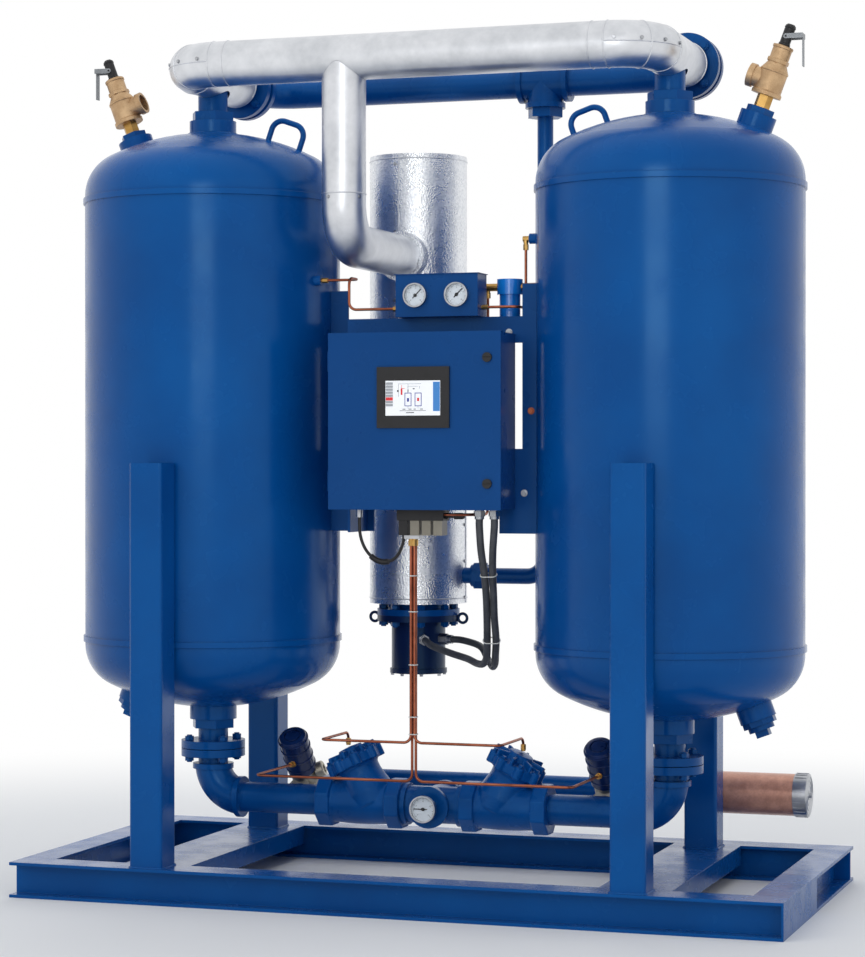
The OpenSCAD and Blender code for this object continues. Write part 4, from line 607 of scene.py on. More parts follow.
# Hose with ribs: the radius of a path rises and falls by a named pitch
def makeRibbedHose():
    sizes = {"Diameter": 0.02, "Rib Pitch": 0.004, "Rib Depth": 0.04, "Sides": 18}
    tree, gin, gout = newTree("ribbedHose", sizes)
    curve = made(tree, "GeometryNodeMeshToCurve", {0: gin["Geometry"]})
    step = calc(tree, "DIVIDE", gin["Rib Pitch"], 4.0)
    fine = made(tree, "GeometryNodeResampleCurve", {"Curve": curve, "Length": step}, mode="LENGTH")
    along = add(tree, "GeometryNodeSplineParameter").outputs["Length"]
    turns = calc(tree, "DIVIDE", along, gin["Rib Pitch"])
    wave = calc(tree, "SINE", calc(tree, "MULTIPLY", turns, fullTurn))
    swell = calc(tree, "MULTIPLY_ADD", wave, gin["Rib Depth"], 1.0)
    shaped = made(tree, "GeometryNodeSetCurveRadius", {"Curve": fine, "Radius": swell})
    half = calc(tree, "DIVIDE", gin["Diameter"], 2.0)
    ring = made(tree, "GeometryNodeCurvePrimitiveCircle", {"Resolution": gin["Sides"], "Radius": half})
    radius = made(tree, "GeometryNodeInputRadius")
    ins = {"Curve": shaped, "Profile Curve": ring, "Scale": radius, "Fill Caps": True}
    return closeTree(tree, gin, gout, made(tree, "GeometryNodeCurveToMesh", ins))


ribbedHose = makeRibbedHose()


def runHose(name, paths, sizes, material):
    mesh = grow(name, wireMesh(name + "Paths", paths), ribbedHose, {**sizes, "Material": material})
    return place(name, mesh, material, sharp=60)


# Cords, along the same points as their solids, in mm
conduitSizes = {"Diameter": 0.021, "Rib Pitch": 0.0052, "Rib Depth": 0.022}
cords = {
    "leftConduit": {
        "node": "left_conduit", "sizes": conduitSizes, "finish": conduitSkin, "slot": "conduit_skin",
        "points": [(210, -280, 1092), (210, -280, 1070), (210, -265, 1005), (210, -235, 940),
                   (205, -200, 875), (195, -160, 810), (180, -110, 745), (160, -50, 690), (135, 0, 665),
                   (100, 50, 660), (55, 95, 670), (0, 130, 680), (-45, 155, 690), (-85, 180, 700),
                   (-110, 214, 707), (-131, 254, 710)],
    },
    "rightConduit": {
        "node": "right_conduit", "sizes": conduitSizes, "finish": conduitSkin, "slot": "conduit_skin",
        "points": [(254, -280, 1092), (254, -280, 1070), (245, -265, 1005), (235, -235, 940),
                   (227, -200, 875), (217, -160, 810), (205, -105, 745), (185, -45, 695), (165, 15, 665),
                   (140, 75, 650), (115, 130, 655), (85, 190, 670), (55, 245, 690), (20, 290, 700),
                   (-36, 323, 709), (-69, 332, 710)],
    },
    "solenoidCable": {
        "node": "solenoid_cable", "sizes": {"Diameter": 0.009, "Rib Pitch": 0.004, "Rib Depth": 0.0},
        "finish": cableRubber, "slot": "cable_rubber",
        "points": [(-150, -276, 1095), (-150, -276, 1078), (-149, -275, 1052), (-144, -273, 1028),
                   (-134, -271, 1005), (-118, -269, 985), (-98, -268, 972), (-76, -267, 968),
                   (-54, -266, 974), (-38, -265, 988), (-28, -265, 1006), (-22, -265, 1024),
                   (-20, -265, 1036), (-20, -265, 1045)],
    },
}


def makeCord(name, s):
    path = smoothPath(s["points"])
    piece = runHose(name, [path], s["sizes"], s["finish"])
    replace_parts(piece, s["node"])


for cordName, cordSettings in cords.items():
    makeCord(cordName, cordSettings)
print("cords laid")


# Fasteners: a hex or round head on a washer at each point, turned to face along the point's own direction
def makeFastenerTree():
    tree, gin, gout = newTree("fastener", {"Across": 0.01, "Height": 0.005, "Sides": 6, "Washer": 0.014,
                                           "Washer Height": 0.001, "Seed": 3})
    seat = calc(tree, "MULTIPLY", gin["Washer Height"], 0.5)
    lift = calc(tree, "MULTIPLY_ADD", gin["Height"], 0.5, gin["Washer Height"])
    both = add(tree, "GeometryNodeJoinGeometry")
    washerSides = 20
    discs = [(washerSides, "Washer", "Washer Height", seat), (gin["Sides"], "Across", "Height", lift)]
    for sides, width, depth, rise in discs:
        ins = {"Vertices": sides, "Radius": calc(tree, "MULTIPLY", gin[width], 0.5), "Depth": gin[depth]}
        disc = add(tree, "GeometryNodeMeshCylinder", ins).outputs["Mesh"]
        up = made(tree, "ShaderNodeCombineXYZ", {"Z": rise})
        raised = made(tree, "GeometryNodeTransform", {"Geometry": disc, "Translation": up})
        tree.links.new(raised, both.inputs[0])
    facing = made(tree, "GeometryNodeInputNamedAttribute", {"Name": "facing"}, data_type="FLOAT_VECTOR")
    aimed = made(tree, "FunctionNodeAlignRotationToVector", {"Vector": facing}, axis="Z")
    spin = aboutUp(tree, randomFloat(tree, 0.0, fullTurn, gin["Seed"]))
    turn = made(tree, "FunctionNodeRotateRotation", {0: aimed, 1: spin}, rotation_space="LOCAL")
    return closeTree(tree, gin, gout, copyOnto(tree, gin["Geometry"], both.outputs[0], turn))


fastenerTree = makeFastenerTree()


def fasten(name, spots, sizes, material):
    start = bpy.data.meshes.new(name)
    start.from_pydata([tuple(p) for p, n in spots], [], [])
    facing = start.attributes.new("facing", "FLOAT_VECTOR", "POINT")
    for k, (p, n) in enumerate(spots):
        facing.data[k].vector = n
    place(name, grow(name, start, fastenerTree, {**sizes, "Material": material}), material)


# Places round a circle, each facing along the circle's axis
def ringSpots(centre, axis, radius, count, turn):
    matrix, facing = frameAlong(centre, axis), Vector(axis).normalized()
    return [(matrix @ polar(radius, math.radians(turn) + fullTurn * k / count), facing) for k in range(count)]


# Weld: overlapping ripples along a path
def makeWeldTree():
    tree, gin, gout = newTree("weldBead", {"Width": 0.008, "Ripple": 0.005, "Seed": 5})
    ins = {"Curve": made(tree, "GeometryNodeMeshToCurve", {0: gin["Geometry"]}), "Length": gin["Ripple"]}
    marks = add(tree, "GeometryNodeCurveToPoints", ins, mode="LENGTH").outputs
    scale = randomFloat(tree, 0.88, 1.1, gin["Seed"])
    half = calc(tree, "MULTIPLY", gin["Width"], 0.5)
    drop = add(tree, "GeometryNodeMeshUVSphere", {"Segments": 8, "Rings": 5, "Radius": half}).outputs["Mesh"]
    return closeTree(tree, gin, gout, copyOnto(tree, marks["Points"], drop, marks["Rotation"], scale))


weldTree = makeWeldTree()

# Welds where the legs stand on the skid, and round each top nozzle
welds = {"bead": {"Width": 0.011, "Ripple": 0.0055}, "cornerRadius": 0.012,
         "nozzle": (0.702, -0.045, 2.2325), "nozzleRadius": 0.0715}


def mirrored(spot, side):
    return Vector((spot[0] * side, spot[1], spot[2]))


def makeWelds(s):
    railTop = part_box("front_rail")[1].z
    paths = []
    for node in ("front_legs", "rear_legs"):
        low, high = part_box(node)
        for tower in ("left_tower", "right_tower"):
            towerLow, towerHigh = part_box(tower)
            middle = (towerLow.x + towerHigh.x) / 2
            half = high.x - abs(middle)
            near = low.y if node == "front_legs" else high.y - 2 * half
            first, last = Vector((middle - half, near)), Vector((middle + half, near + 2 * half))
            paths.append(loopRound(first, last, railTop, s["cornerRadius"]))
    for side in (-1, 1):
        paths.append(circlePath(mirrored(s["nozzle"], side), (0, 0, 1), s["nozzleRadius"]))
    mesh = grow("footWelds", wireMesh("weldPaths", paths), weldTree, {**s["bead"], "Material": bluePaint})
    place("footWelds", mesh, bluePaint, sharp=80)


makeWelds(welds)
print("welds run")


# A copy of a CAD shape with more than one finish: each face takes the first whose test its middle meets
def dress(name, node, rules):
    bm = bmesh.new()
    bm.from_mesh(nodes[node].data)
    bmesh.ops.transform(bm, matrix=nodes[node].matrix_world, verts=bm.verts)
    bmesh.ops.remove_doubles(bm, verts=bm.verts, dist=mergeGap)
    mesh = bpy.data.meshes.new(name)
    bm.to_mesh(mesh)
    bm.free()
    if "custom_normal" in mesh.attributes:
        mesh.attributes.remove(mesh.attributes["custom_normal"])
    for material, test in rules:
        mesh.materials.append(material)
    for face in mesh.polygons:
        spot = face.center.copy()
        face.material_index = next(k for k, rule in enumerate(rules) if rule[1](spot))
    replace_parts(placeMany(name, mesh), node)


def anywhere(spot):
    return True


# Relief valves: blue bush, brass nipple, bronze body and a dark cap, by height along the leaning axis.
# The castings carry rings (foot flange, shoulder, bonnet nut, cap ring), as (radius, low, high, sides)
relief = {
    "foot": (0.957347, -0.045, 2.22819), "axis": (0.351234, 0.0, 0.936288),
    "bush": 0.0179, "nipple": 0.0539, "cap": 0.1999,
    "castRings": [(0.0425, 0.0545, 0.0655, 64), (0.0405, 0.121, 0.1275, 64), (0.0325, 0.148, 0.16, 6),
                  (0.0295, 0.19, 0.1985, 64)],
    "capRings": [(0.0168, 0.2, 0.207, 64), (0.0162, 0.25, 0.2545, 64)], "ringEdge": 0.0015,
}


def reliefBelow(level):
    def test(spot):
        side = math.copysign(1, spot.x)
        return (spot - mirrored(relief["foot"], side)).dot(mirrored(relief["axis"], side)) < relief[level]
    return test


dress("reliefBodies", "relief_valves", [
    (pipePaint, reliefBelow("bush")), (brassFitting, reliefBelow("nipple")), (bronzeCast, reliefBelow("cap")),
    (blackPlastic, anywhere)])


def makeCollars(name, rings, material, s):
    bm = bmesh.new()
    e = s["ringEdge"]
    for side in (-1, 1):
        foot, axis = mirrored(s["foot"], side), mirrored(s["axis"], side)
        for r, low, high, sides in rings:
            outline = [(0, low), (r - e, low), (r, low + e), (r, high - e), (r - e, high), (0, high)]
            turned(bm, outline, foot, axis, sides)
    build(name, bm, material, sharp=25)


makeCollars("reliefCollars", relief["castRings"], bronzeCast, relief)
makeCollars("reliefCapRings", relief["capRings"], blackPlastic, relief)

# Muffler: brown shell with a bright cap, pressed in rings of (radius, half width) round a centre nut
muffler = {"capFrom": 0.9165, "end": (0.9965, 0.516, 0.252), "along": (1, 0, 0),
           "rings": [(0.058, 0.0035), (0.044, 0.003), (0.03, 0.003)],
           "sunk": -0.001, "high": 0.0022, "crest": 0.6,
           "nut": {"Across": 0.017, "Height": 0.008, "Washer": 0.028, "Washer Height": 0.002}}
dress("mufflerShell", "muffler", [
    (zincSteel, lambda spot: spot.x > muffler["capFrom"]), (mufflerSkin, anywhere)])


def makeMufflerCap(s):
    bm = bmesh.new()
    for r, w in s["rings"]:
        crest = w * s["crest"]
        outline = [(r - w, s["sunk"]), (r - crest, s["high"]), (r + crest, s["high"]), (r + w, s["sunk"])]
        turned(bm, outline, s["end"], s["along"])
    build("mufflerRings", bm, zincSteel, sharp=40)
    fasten("mufflerNut", [(s["end"], s["along"])], s["nut"], zincSteel)


makeMufflerCap(muffler)

# Control plate: bright plate with dark and pale devices on rails, and wiring ducts between the rows
control = {
    "plateFront": -0.216, "middle": 0.038, "pitch": 0.06, "rowBreaks": (1.278, 1.413),
    "dark": [(0, 2), (1, -1), (1, 1), (1, 2), (2, -2), (2, -1)],    # row from below, column from the middle
    "rails": {"size": (0.36, 0.007, 0.035), "y": -0.2185, "heights": (1.208, 1.348, 1.478)},
    "ducts": {"size": (0.4, 0.04, 0.026), "y": -0.235, "heights": (1.278, 1.412, 1.548)},
}


def isDark(spot):
    row = sum(spot.z > level for level in control["rowBreaks"])
    return (row, round((spot.x - control["middle"]) / control["pitch"])) in control["dark"]


dress("controlDevices", "control_plate", [
    (zincSteel, lambda spot: spot.y > control["plateFront"]), (blackPlastic, isDark), (nylonTie, anywhere)])


def makeSlabs(name, slabs, material, body="root"):
    bm = bmesh.new()
    for centre, size in slabs:
        bmesh.ops.create_cube(bm, size=1.0, matrix=Matrix.Translation(centre) @ Matrix.Diagonal((*size, 1)))
    build(name, bm, material, sharp=30, body=body)


def makeRows(name, row, material):
    slabs = [((control["middle"], row["y"], z), row["size"]) for z in row["heights"]]
    makeSlabs(name, slabs, material)


makeRows("deviceRails", control["rails"], zincSteel)
makeRows("wireDucts", control["ducts"], deviceGrey)

# Solenoid manifold: bright foot, dark bar on top and on the left, pale coils on the right
solenoid = {"footTop": 1.0449, "darkTo": 0.012, "barFrom": 1.088}
dress("solenoidBank", "solenoid_manifold", [
    (zincSteel, lambda spot: spot.z < solenoid["footTop"]),
    (blackPlastic, lambda spot: spot.x < solenoid["darkTo"] or spot.z > solenoid["barFrom"]),
    (deviceGrey, anywhere)])

# Pilot filter: blue head and bowl, brass fittings, painted foot
pilotFilter = {"place": Vector((0.252, -0.122)), "footTop": 1.6655, "footReach": 0.0305, "bodyReach": 0.0375}


def filterReach(spot):
    return math.hypot(spot.x - pilotFilter["place"].x, spot.y - pilotFilter["place"].y)


def isFilterFoot(spot):
    return spot.z < pilotFilter["footTop"] and filterReach(spot) > pilotFilter["footReach"]


dress("filterBody", "pilot_filter", [
    (bluePaint, isFilterFoot),
    (filterBlue, lambda spot: filterReach(spot) < pilotFilter["bodyReach"]),
    (brassFitting, anywhere)])

# Pilot tubes: copper, with a brass elbow at the right tower's tap
elbowTap = {"x": 0.294, "z": 1.874}
dress("pilotTubes", "pilot_tubes", [
    (brassFitting, lambda spot: spot.x > elbowTap["x"] and spot.z > elbowTap["z"]), (copperTube, anywhere)])
print("copies dressed")

# Exhaust valves: steel bodies, painted pipe, brass stubs, and dark blue actuators with rings, cap and port
exhaust = {
    "seat": (0.475, 0.165, 0.252), "axis": Vector((0.0, -0.615661, 0.788011)),
    "actuatorLow": 0.0915, "reach": 0.045,
    "stub": {"x": 0.475, "z": 0.345, "reach": 0.0095, "behind": 0.02}, "steelSpan": (0.08, 0.25),
    "rings": [0.112, 0.148, 0.184, 0.214], "ringWidth": 0.005, "ringInner": 0.042, "ringOuter": 0.0462,
    "cap": [(0.043, 0.219), (0.04, 0.226), (0.031, 0.2285), (0.026, 0.2285), (0.025, 0.2245), (0, 0.2245)],
    "portFrom": Vector((0.0, -0.037, 0.047)), "portAlong": (0.9, 0.15, 0.35),
    "port": [(0, 0), (0.0189, 0), (0.0189, 0.036), (0.027, 0.04), (0.027, 0.063), (0.024, 0.066),
             (0.0135, 0.066), (0.01242, 0.054), (0, 0.054)],
}


def isActuator(spot):
    out = spot - mirrored(exhaust["seat"], math.copysign(1, spot.x))
    height = out.dot(exhaust["axis"])
    return height > exhaust["actuatorLow"] and (out - height * exhaust["axis"]).length < exhaust["reach"]


def isStub(spot):
    s = exhaust["stub"]
    reach = max(abs(spot.z - s["z"]), abs(abs(spot.x) - s["x"]))
    return reach < s["reach"] and spot.y > s["behind"]


def isSteel(spot):
    return exhaust["steelSpan"][0] < spot.y < exhaust["steelSpan"][1]


for sideName in ("left", "right"):
    dress(sideName + "ExhaustBody", sideName + "_exhaust_valve", [
        (actuatorBlue, isActuator), (brassFitting, isStub), (castSteel, isSteel), (pipePaint, anywhere)])


def makeActuators(s):
    rings, ports = bmesh.new(), bmesh.new()
    inner, outer, w = s["ringInner"], s["ringOuter"], s["ringWidth"]
    for side in (-1, 1):
        seat = mirrored(s["seat"], side)
        for h in s["rings"]:
            outline = [(inner, h - w / 2), (outer, h - w / 3), (outer, h + w / 3), (inner, h + w / 2)]
            turned(rings, outline, seat, s["axis"])
        turned(rings, s["cap"], seat, s["axis"])
        turned(ports, s["port"], seat + s["portFrom"], s["portAlong"], steps=48)
    build("actuatorRings", rings, actuatorBlue, sharp=40)
    build("exhaustPorts", ports, castSteel, sharp=40)


makeActuators(exhaust)
print("exhaust valves made")

# Inlet valves: one casting a side, with eight-sided ends, a leaning neck and a lobed, ribbed cover
casting = {
    "start": 0.092, "length": 0.26, "middle": Vector((0.0, -0.045, 0.252)),
    "endRadius": 0.0768, "endLength": 0.044,
    "bodyRadius": 0.059, "bodyInset": 0.002, "bodySteps": 12, "bulge": 0.006, "lean": 26.0, "neckFrom": 0.188,
    "neck": [(0, 0), (0.069, 0), (0.071, 0.04), (0.066, 0.062), (0.06, 0.09), (0.06, 0.108), (0.068, 0.122),
             (0, 0.122)],
    "cover": [(0, 0.118), (0.075, 0.118), (0.075, 0.147), (0.062, 0.15), (0.042, 0.155), (0.036, 0.176),
              (0, 0.18)],
    "lobes": 8, "lobeRadius": 0.0135, "lobeReach": 0.0745, "lobeLow": 0.117, "lobeHigh": 0.153,
    "ribs": 8, "ribSize": (0.058, 0.009, 0.02), "ribMiddle": (0.049, 0.0, 0.16),
    "voxel": 0.0024, "smoothing": 3,
    "bolts": {"Across": 0.0145, "Height": 0.007, "Washer": 0.018, "Washer Height": 0.0015},
}


def castRough(bm, along, base, axis, s):
    middle, start, inset = s["middle"], s["start"], s["bodyInset"]
    end = start + s["length"]
    flatUp = Matrix.Rotation(math.pi / 8, 4, "X")
    for near in (start, end - s["endLength"]):
        first = len(bm.verts)
        drum(bm, s["endRadius"], near, near + s["endLength"], (0, 0, 0), along, steps=8)
        bm.verts.ensure_lookup_table()
        bmesh.ops.transform(bm, matrix=Matrix.Translation(middle) @ flatUp, verts=bm.verts[first:])
    outline = [(0, start + inset)]
    for k in range(s["bodySteps"] + 1):
        t = k / s["bodySteps"]
        outline.append((s["bodyRadius"] + s["bulge"] * math.sin(math.pi * t),
                        start + inset + t * (s["length"] - 2 * inset)))
    turned(bm, outline + [(0, end - inset)], middle, along)
    turned(bm, s["neck"], base, axis)
    turned(bm, s["cover"], base, axis)
    matrix = frameAlong(base, axis)
    for k in range(s["lobes"]):
        foot = matrix @ polar(s["lobeReach"], fullTurn * (k + 0.5) / s["lobes"])
        drum(bm, s["lobeRadius"], s["lobeLow"], s["lobeHigh"], foot, axis, steps=24)
    rib = Matrix.Translation(s["ribMiddle"]) @ Matrix.Diagonal((*s["ribSize"], 1))
    for k in range(s["ribs"]):
        turn = Matrix.Rotation(fullTurn * k / s["ribs"], 4, "Z")
        bmesh.ops.create_cube(bm, size=1.0, matrix=matrix @ turn @ rib)


def makeCasting(name, node, side, s):
    bm = bmesh.new()
    along, lean = Vector((side, 0, 0)), math.radians(s["lean"])
    base = s["middle"] + along * s["neckFrom"]
    axis = Vector((side * math.sin(lean), 0, math.cos(lean)))
    castRough(bm, along, base, axis, s)
    holder = bpy.data.objects.new(name + "Rough", bmeshTo(name + "Rough", bm))
    fuse = holder.modifiers.new("fuse", "REMESH")
    fuse.mode = "VOXEL"
    fuse.voxel_size = s["voxel"]
    holder.modifiers.new("soften", "SMOOTH").iterations = s["smoothing"]
    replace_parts(place(name, settle(holder), castPaint, sharp=70), node)
    spots = ringSpots(base + axis * s["lobeHigh"], axis, s["lobeReach"], s["lobes"], 180 / s["lobes"])
    fasten(name + "Bolts", spots, s["bolts"], pipePaint)


makeCasting("leftInletCasting", "left_inlet_valve", -1, casting)
makeCasting("rightInletCasting", "right_inlet_valve", 1, casting)
print("inlet valves cast")


# Dials: scale ticks and numbers on a white plate behind glass
def makeTickTree():
    tree, gin, gout = newTree("tickRing", {"Count": 21, "Start": -2.356, "Sweep": 4.712, "Radius": 0.026,
                                           "Length": 0.003, "Width": 0.0006, "Depth": 0.0002})
    last = calc(tree, "SUBTRACT", gin["Count"], 1.0)
    part = calc(tree, "DIVIDE", made(tree, "GeometryNodeInputIndex"), last)
    angle = calc(tree, "MULTIPLY_ADD", part, gin["Sweep"], gin["Start"])
    across, upward = calc(tree, "SINE", angle), calc(tree, "COSINE", angle)
    spot = scaled(tree, made(tree, "ShaderNodeCombineXYZ", {"X": across, "Y": upward}), gin["Radius"])
    points = made(tree, "GeometryNodePoints", {"Count": gin["Count"], "Position": spot})
    size = made(tree, "ShaderNodeCombineXYZ", {"X": gin["Width"], "Y": gin["Length"], "Z": gin["Depth"]})
    bar = add(tree, "GeometryNodeMeshCube", {"Size": size}).outputs["Mesh"]
    spin = aboutUp(tree, calc(tree, "MULTIPLY", angle, -1.0))
    return closeTree(tree, gin, gout, copyOnto(tree, points, bar, spin))


tickTree = makeTickTree()

dials = {
    "gauges": [                 # name, centre, face radius
        ("leftDial", (0.0145, -0.26, 1.726), 0.0303),
        ("rightDial", (0.1375, -0.26, 1.726), 0.0303),
        ("inletDial", (0.0, -0.149, 0.252), 0.0348),
    ],
    "plate": (0.0039, 0.0044), "glass": (0.0098, 0.011), "start": -135.0, "sweep": 270.0,
    # Count, then length, width and reach as shares of the face radius
    "ticks": [(41, 0.08, 0.014, 0.9), (9, 0.15, 0.03, 0.865)], "tickDepth": 0.0003,
    "numbers": ["0", "4", "8", "12", "16"], "numberSize": 0.17, "numberReach": 0.66, "numberDepth": 0.0001,
}


def makeNumber(text, size, depth):
    curve = bpy.data.curves.new("number" + text, "FONT")
    curve.body = text
    curve.size = size
    curve.align_x, curve.align_y = "CENTER", "CENTER"
    curve.extrude = depth
    return settle(bpy.data.objects.new("number" + text, curve))


def makeDisc(name, radius, span, centre, facing, material):
    bm = bmesh.new()
    drum(bm, radius, *span, centre, facing)
    build(name, bm, material, sharp=40)


def makeDial(name, centre, r, s):
    facing = Vector((0, -1, 0))
    start, sweep = math.radians(s["start"]), math.radians(s["sweep"])
    makeDisc(name + "Plate", r, s["plate"], centre, facing, dialWhite)
    marks = bmesh.new()
    for count, length, width, reach in s["ticks"]:
        marks.from_mesh(grow(name + "Ticks", bpy.data.meshes.new(name + "Start"), tickTree, {
            "Count": count, "Start": start, "Sweep": sweep, "Radius": r * reach, "Length": r * length,
            "Width": r * width, "Depth": s["tickDepth"], "Material": inkBlack}))
    for k, text in enumerate(s["numbers"]):
        angle = start + sweep * k / (len(s["numbers"]) - 1)
        number = makeNumber(text, r * s["numberSize"], s["numberDepth"])
        reach = s["numberReach"] * r
        number.transform(Matrix.Translation((reach * math.sin(angle), reach * math.cos(angle), 0)))
        marks.from_mesh(number)
    mesh = bpy.data.meshes.new(name + "Marks")
    marks.to_mesh(mesh)
    marks.free()
    front = Vector(centre) + facing * s["plate"][1]
    mesh.transform(Matrix.Translation(front) @ Matrix.Rotation(math.radians(90), 4, "X"))
    place(name + "Marks", mesh, inkBlack, sharp=40)
    makeDisc(name + "Glass", r, s["glass"], centre, facing, gaugeGlass)


for dialName, dialCentre, dialRadius in dials["gauges"]:
    makeDial(dialName, dialCentre, dialRadius, dials)
print("dials drawn")

# Operator screen: a plain flow sheet of vessels, pipes, valves and soft keys, in mm from its middle
screen = {
    "centre": Vector((0.038, -0.3555, 1.432)), "back": [(0, 0, 162, 98)],
    "thick": 0.0004, "backProud": 0.5, "inkProud": 1.4,     # proud of the centre, in thicknesses
    "layers": {                 # finish name, then boxes of (x, z, width, height)
        "screenGrey": [(-69.5, 41, 21, 7), (-69.5, 32.5, 21, 7), (-69.5, 24, 21, 7), (-69.5, 15.5, 21, 7),
                       (-69.5, 7, 21, 7), (-69.5, -11, 21, 7), (-69.5, -19.5, 21, 7), (-9, 40, 68, 1.2),
                       (-42.4, 22, 1.2, 36), (-14, 27, 1.2, 25), (20, 30, 1.2, 8), (-14, -26, 1.2, 8),
                       (16, -26, 1.2, 8), (0, 33, 30, 1.0)],
        "screenRed": [(-69.5, -2, 21, 9), (-33, 18, 5, 18), (-33, 32, 1.2, 10), (16, -4, 6, 9),
                      (-28, 27, 10, 1.2)],
        "screenBlue": [(-23.2, -4, 2, 36), (-4.8, -4, 2, 36), (-14, 14, 20, 2), (-14, -22, 20, 2),
                       (6.8, -4, 2, 36), (25.2, -4, 2, 36), (16, 14, 20, 2), (16, -22, 20, 2),
                       (-14, -5, 6, 10)],
        "screenSky": [(70, 4, 20, 82)],
        "screenDark": [(-14, 20, 2.4, 8), (-26, -31, 9, 2), (-8, -31, 9, 2), (6, -31, 7, 2), (26, -31, 9, 2),
                       (0, -35.5, 78, 1.2), (-8, -41, 24, 2.2), (-44, 20, 5, 5), (3, 26, 5, 3)],
    },
}


def makeScreen(name, boxes, depth, ink, s):
    slabs = []
    for x, z, w, h in boxes:
        spot = s["centre"] + Vector((x / 1000, -depth * s["thick"], z / 1000))
        slabs.append((spot, (w / 1000, s["thick"], h / 1000)))
    makeSlabs(name, slabs, screenInks[ink], "door")


makeScreen("screenBack", screen["back"], screen["backProud"], "screenWhite", screen)
for inkName, inkBoxes in screen["layers"].items():
    makeScreen(inkName + "Shapes", inkBoxes, screen["inkProud"], inkName, screen)
print("screen drawn")

# Lagging: lap seams round and along the jackets, with screws beside some of them
lagging = {
    "seam": {"Diameter": 0.0042, "Rib Pitch": 0.02, "Rib Depth": 0.0, "Sides": 8},
    "header": {"y": -0.295, "z": 2.405, "radius": 0.065, "joint": 0.5427},
    "elbow": {"x": 0.702, "bend": 0.1143, "rings": [0, 45, 90], "end": 0.136, "crestStep": 5,
              "screwsAt": (2, 7, 12, 17), "screwUp": Vector((0, 0, 0.009))},
    "drop": {"end": Vector((-0.19, -0.295, 2.016)), "axis": Vector((0, 0, -1)), "radius": 0.063,
             "screws": 4, "turn": 25, "screwDown": 0.011},
    "heater": {"place": (-0.19, 0.365), "radius": 0.15, "rings": [0.836, 1.3, 2.176], "steps": 120,
               # Degrees round from the front, low end, top end
               "seams": [(-5.0, 1.3, 2.188), (93.0, 0.822, 1.3), (182.0, 0.822, 2.188)],
               "screwsAt": range(4, 120, 28), "screwBeside": 0.012, "screwSunk": 0.0006},
    "screw": {"Across": 0.0085, "Height": 0.0024, "Sides": 14, "Washer": 0.0115, "Washer Height": 0.0008},
}


def headerSeams(side, head, bend, paths, screws):
    radius, reach = head["radius"], bend["bend"]
    paths.append(circlePath((side * head["joint"], head["y"], head["z"]), (side, 0, 0), radius))
    pivot = Vector((side * (bend["x"] - reach), head["y"] + reach, head["z"]))

    def spoke(angle):
        return Vector((side * math.sin(angle), -math.cos(angle), 0))

    for angle in map(math.radians, bend["rings"]):
        axis = (side * math.cos(angle), math.sin(angle), 0)
        paths.append(circlePath(pivot + spoke(angle) * reach, axis, radius))
    outs = [spoke(math.radians(turn)) for turn in range(0, 91, bend["crestStep"])]
    crest = [pivot + out * (reach + radius) for out in outs]
    paths.append(crest)
    screws.extend((crest[k] + bend["screwUp"], outs[k]) for k in bend["screwsAt"])
    paths.append(circlePath((side * bend["x"], bend["end"], head["z"]), (0, 1, 0), radius))


def dropSeams(s, paths, screws):
    paths.append(circlePath(s["end"], s["axis"], s["radius"]))
    turn = frameAlong(s["end"], s["axis"]).to_3x3()
    for k in range(s["screws"]):
        out = turn @ polar(1, math.radians(s["turn"]) + fullTurn * k / s["screws"])
        screws.append((s["end"] + out * s["radius"] + s["axis"] * s["screwDown"], out))


def heaterSeams(s, paths, screws):
    steps = s["steps"]
    for degrees, low, top in s["seams"]:
        angle = math.radians(degrees)
        out = Vector((math.sin(angle), -math.cos(angle), 0))
        heights = [low + (top - low) * k / steps for k in range(steps + 1)]
        line = [Vector((*s["place"], z)) + out * s["radius"] for z in heights]
        paths.append(line)
        beside = Vector((out.y, -out.x, 0)) * s["screwBeside"] - out * s["screwSunk"]
        screws.extend((line[k] + beside, out) for k in s["screwsAt"])
    for z in s["rings"]:
        paths.append(circlePath((*s["place"], z), (0, 0, 1), s["radius"]))


def makeLagging(s):
    plain, stucco, screws = [], [], []
    for side in (-1, 1):
        headerSeams(side, s["header"], s["elbow"], plain, screws)
    dropSeams(s["drop"], plain, screws)
    heaterSeams(s["heater"], stucco, screws)
    runHose("plainSeams", plain, s["seam"], laggingSkin)
    runHose("stuccoSeams", stucco, s["seam"], laggingSkin)
    fasten("laggingScrews", screws, s["screw"], zincSteel)


makeLagging(lagging)
print("lagging seamed")

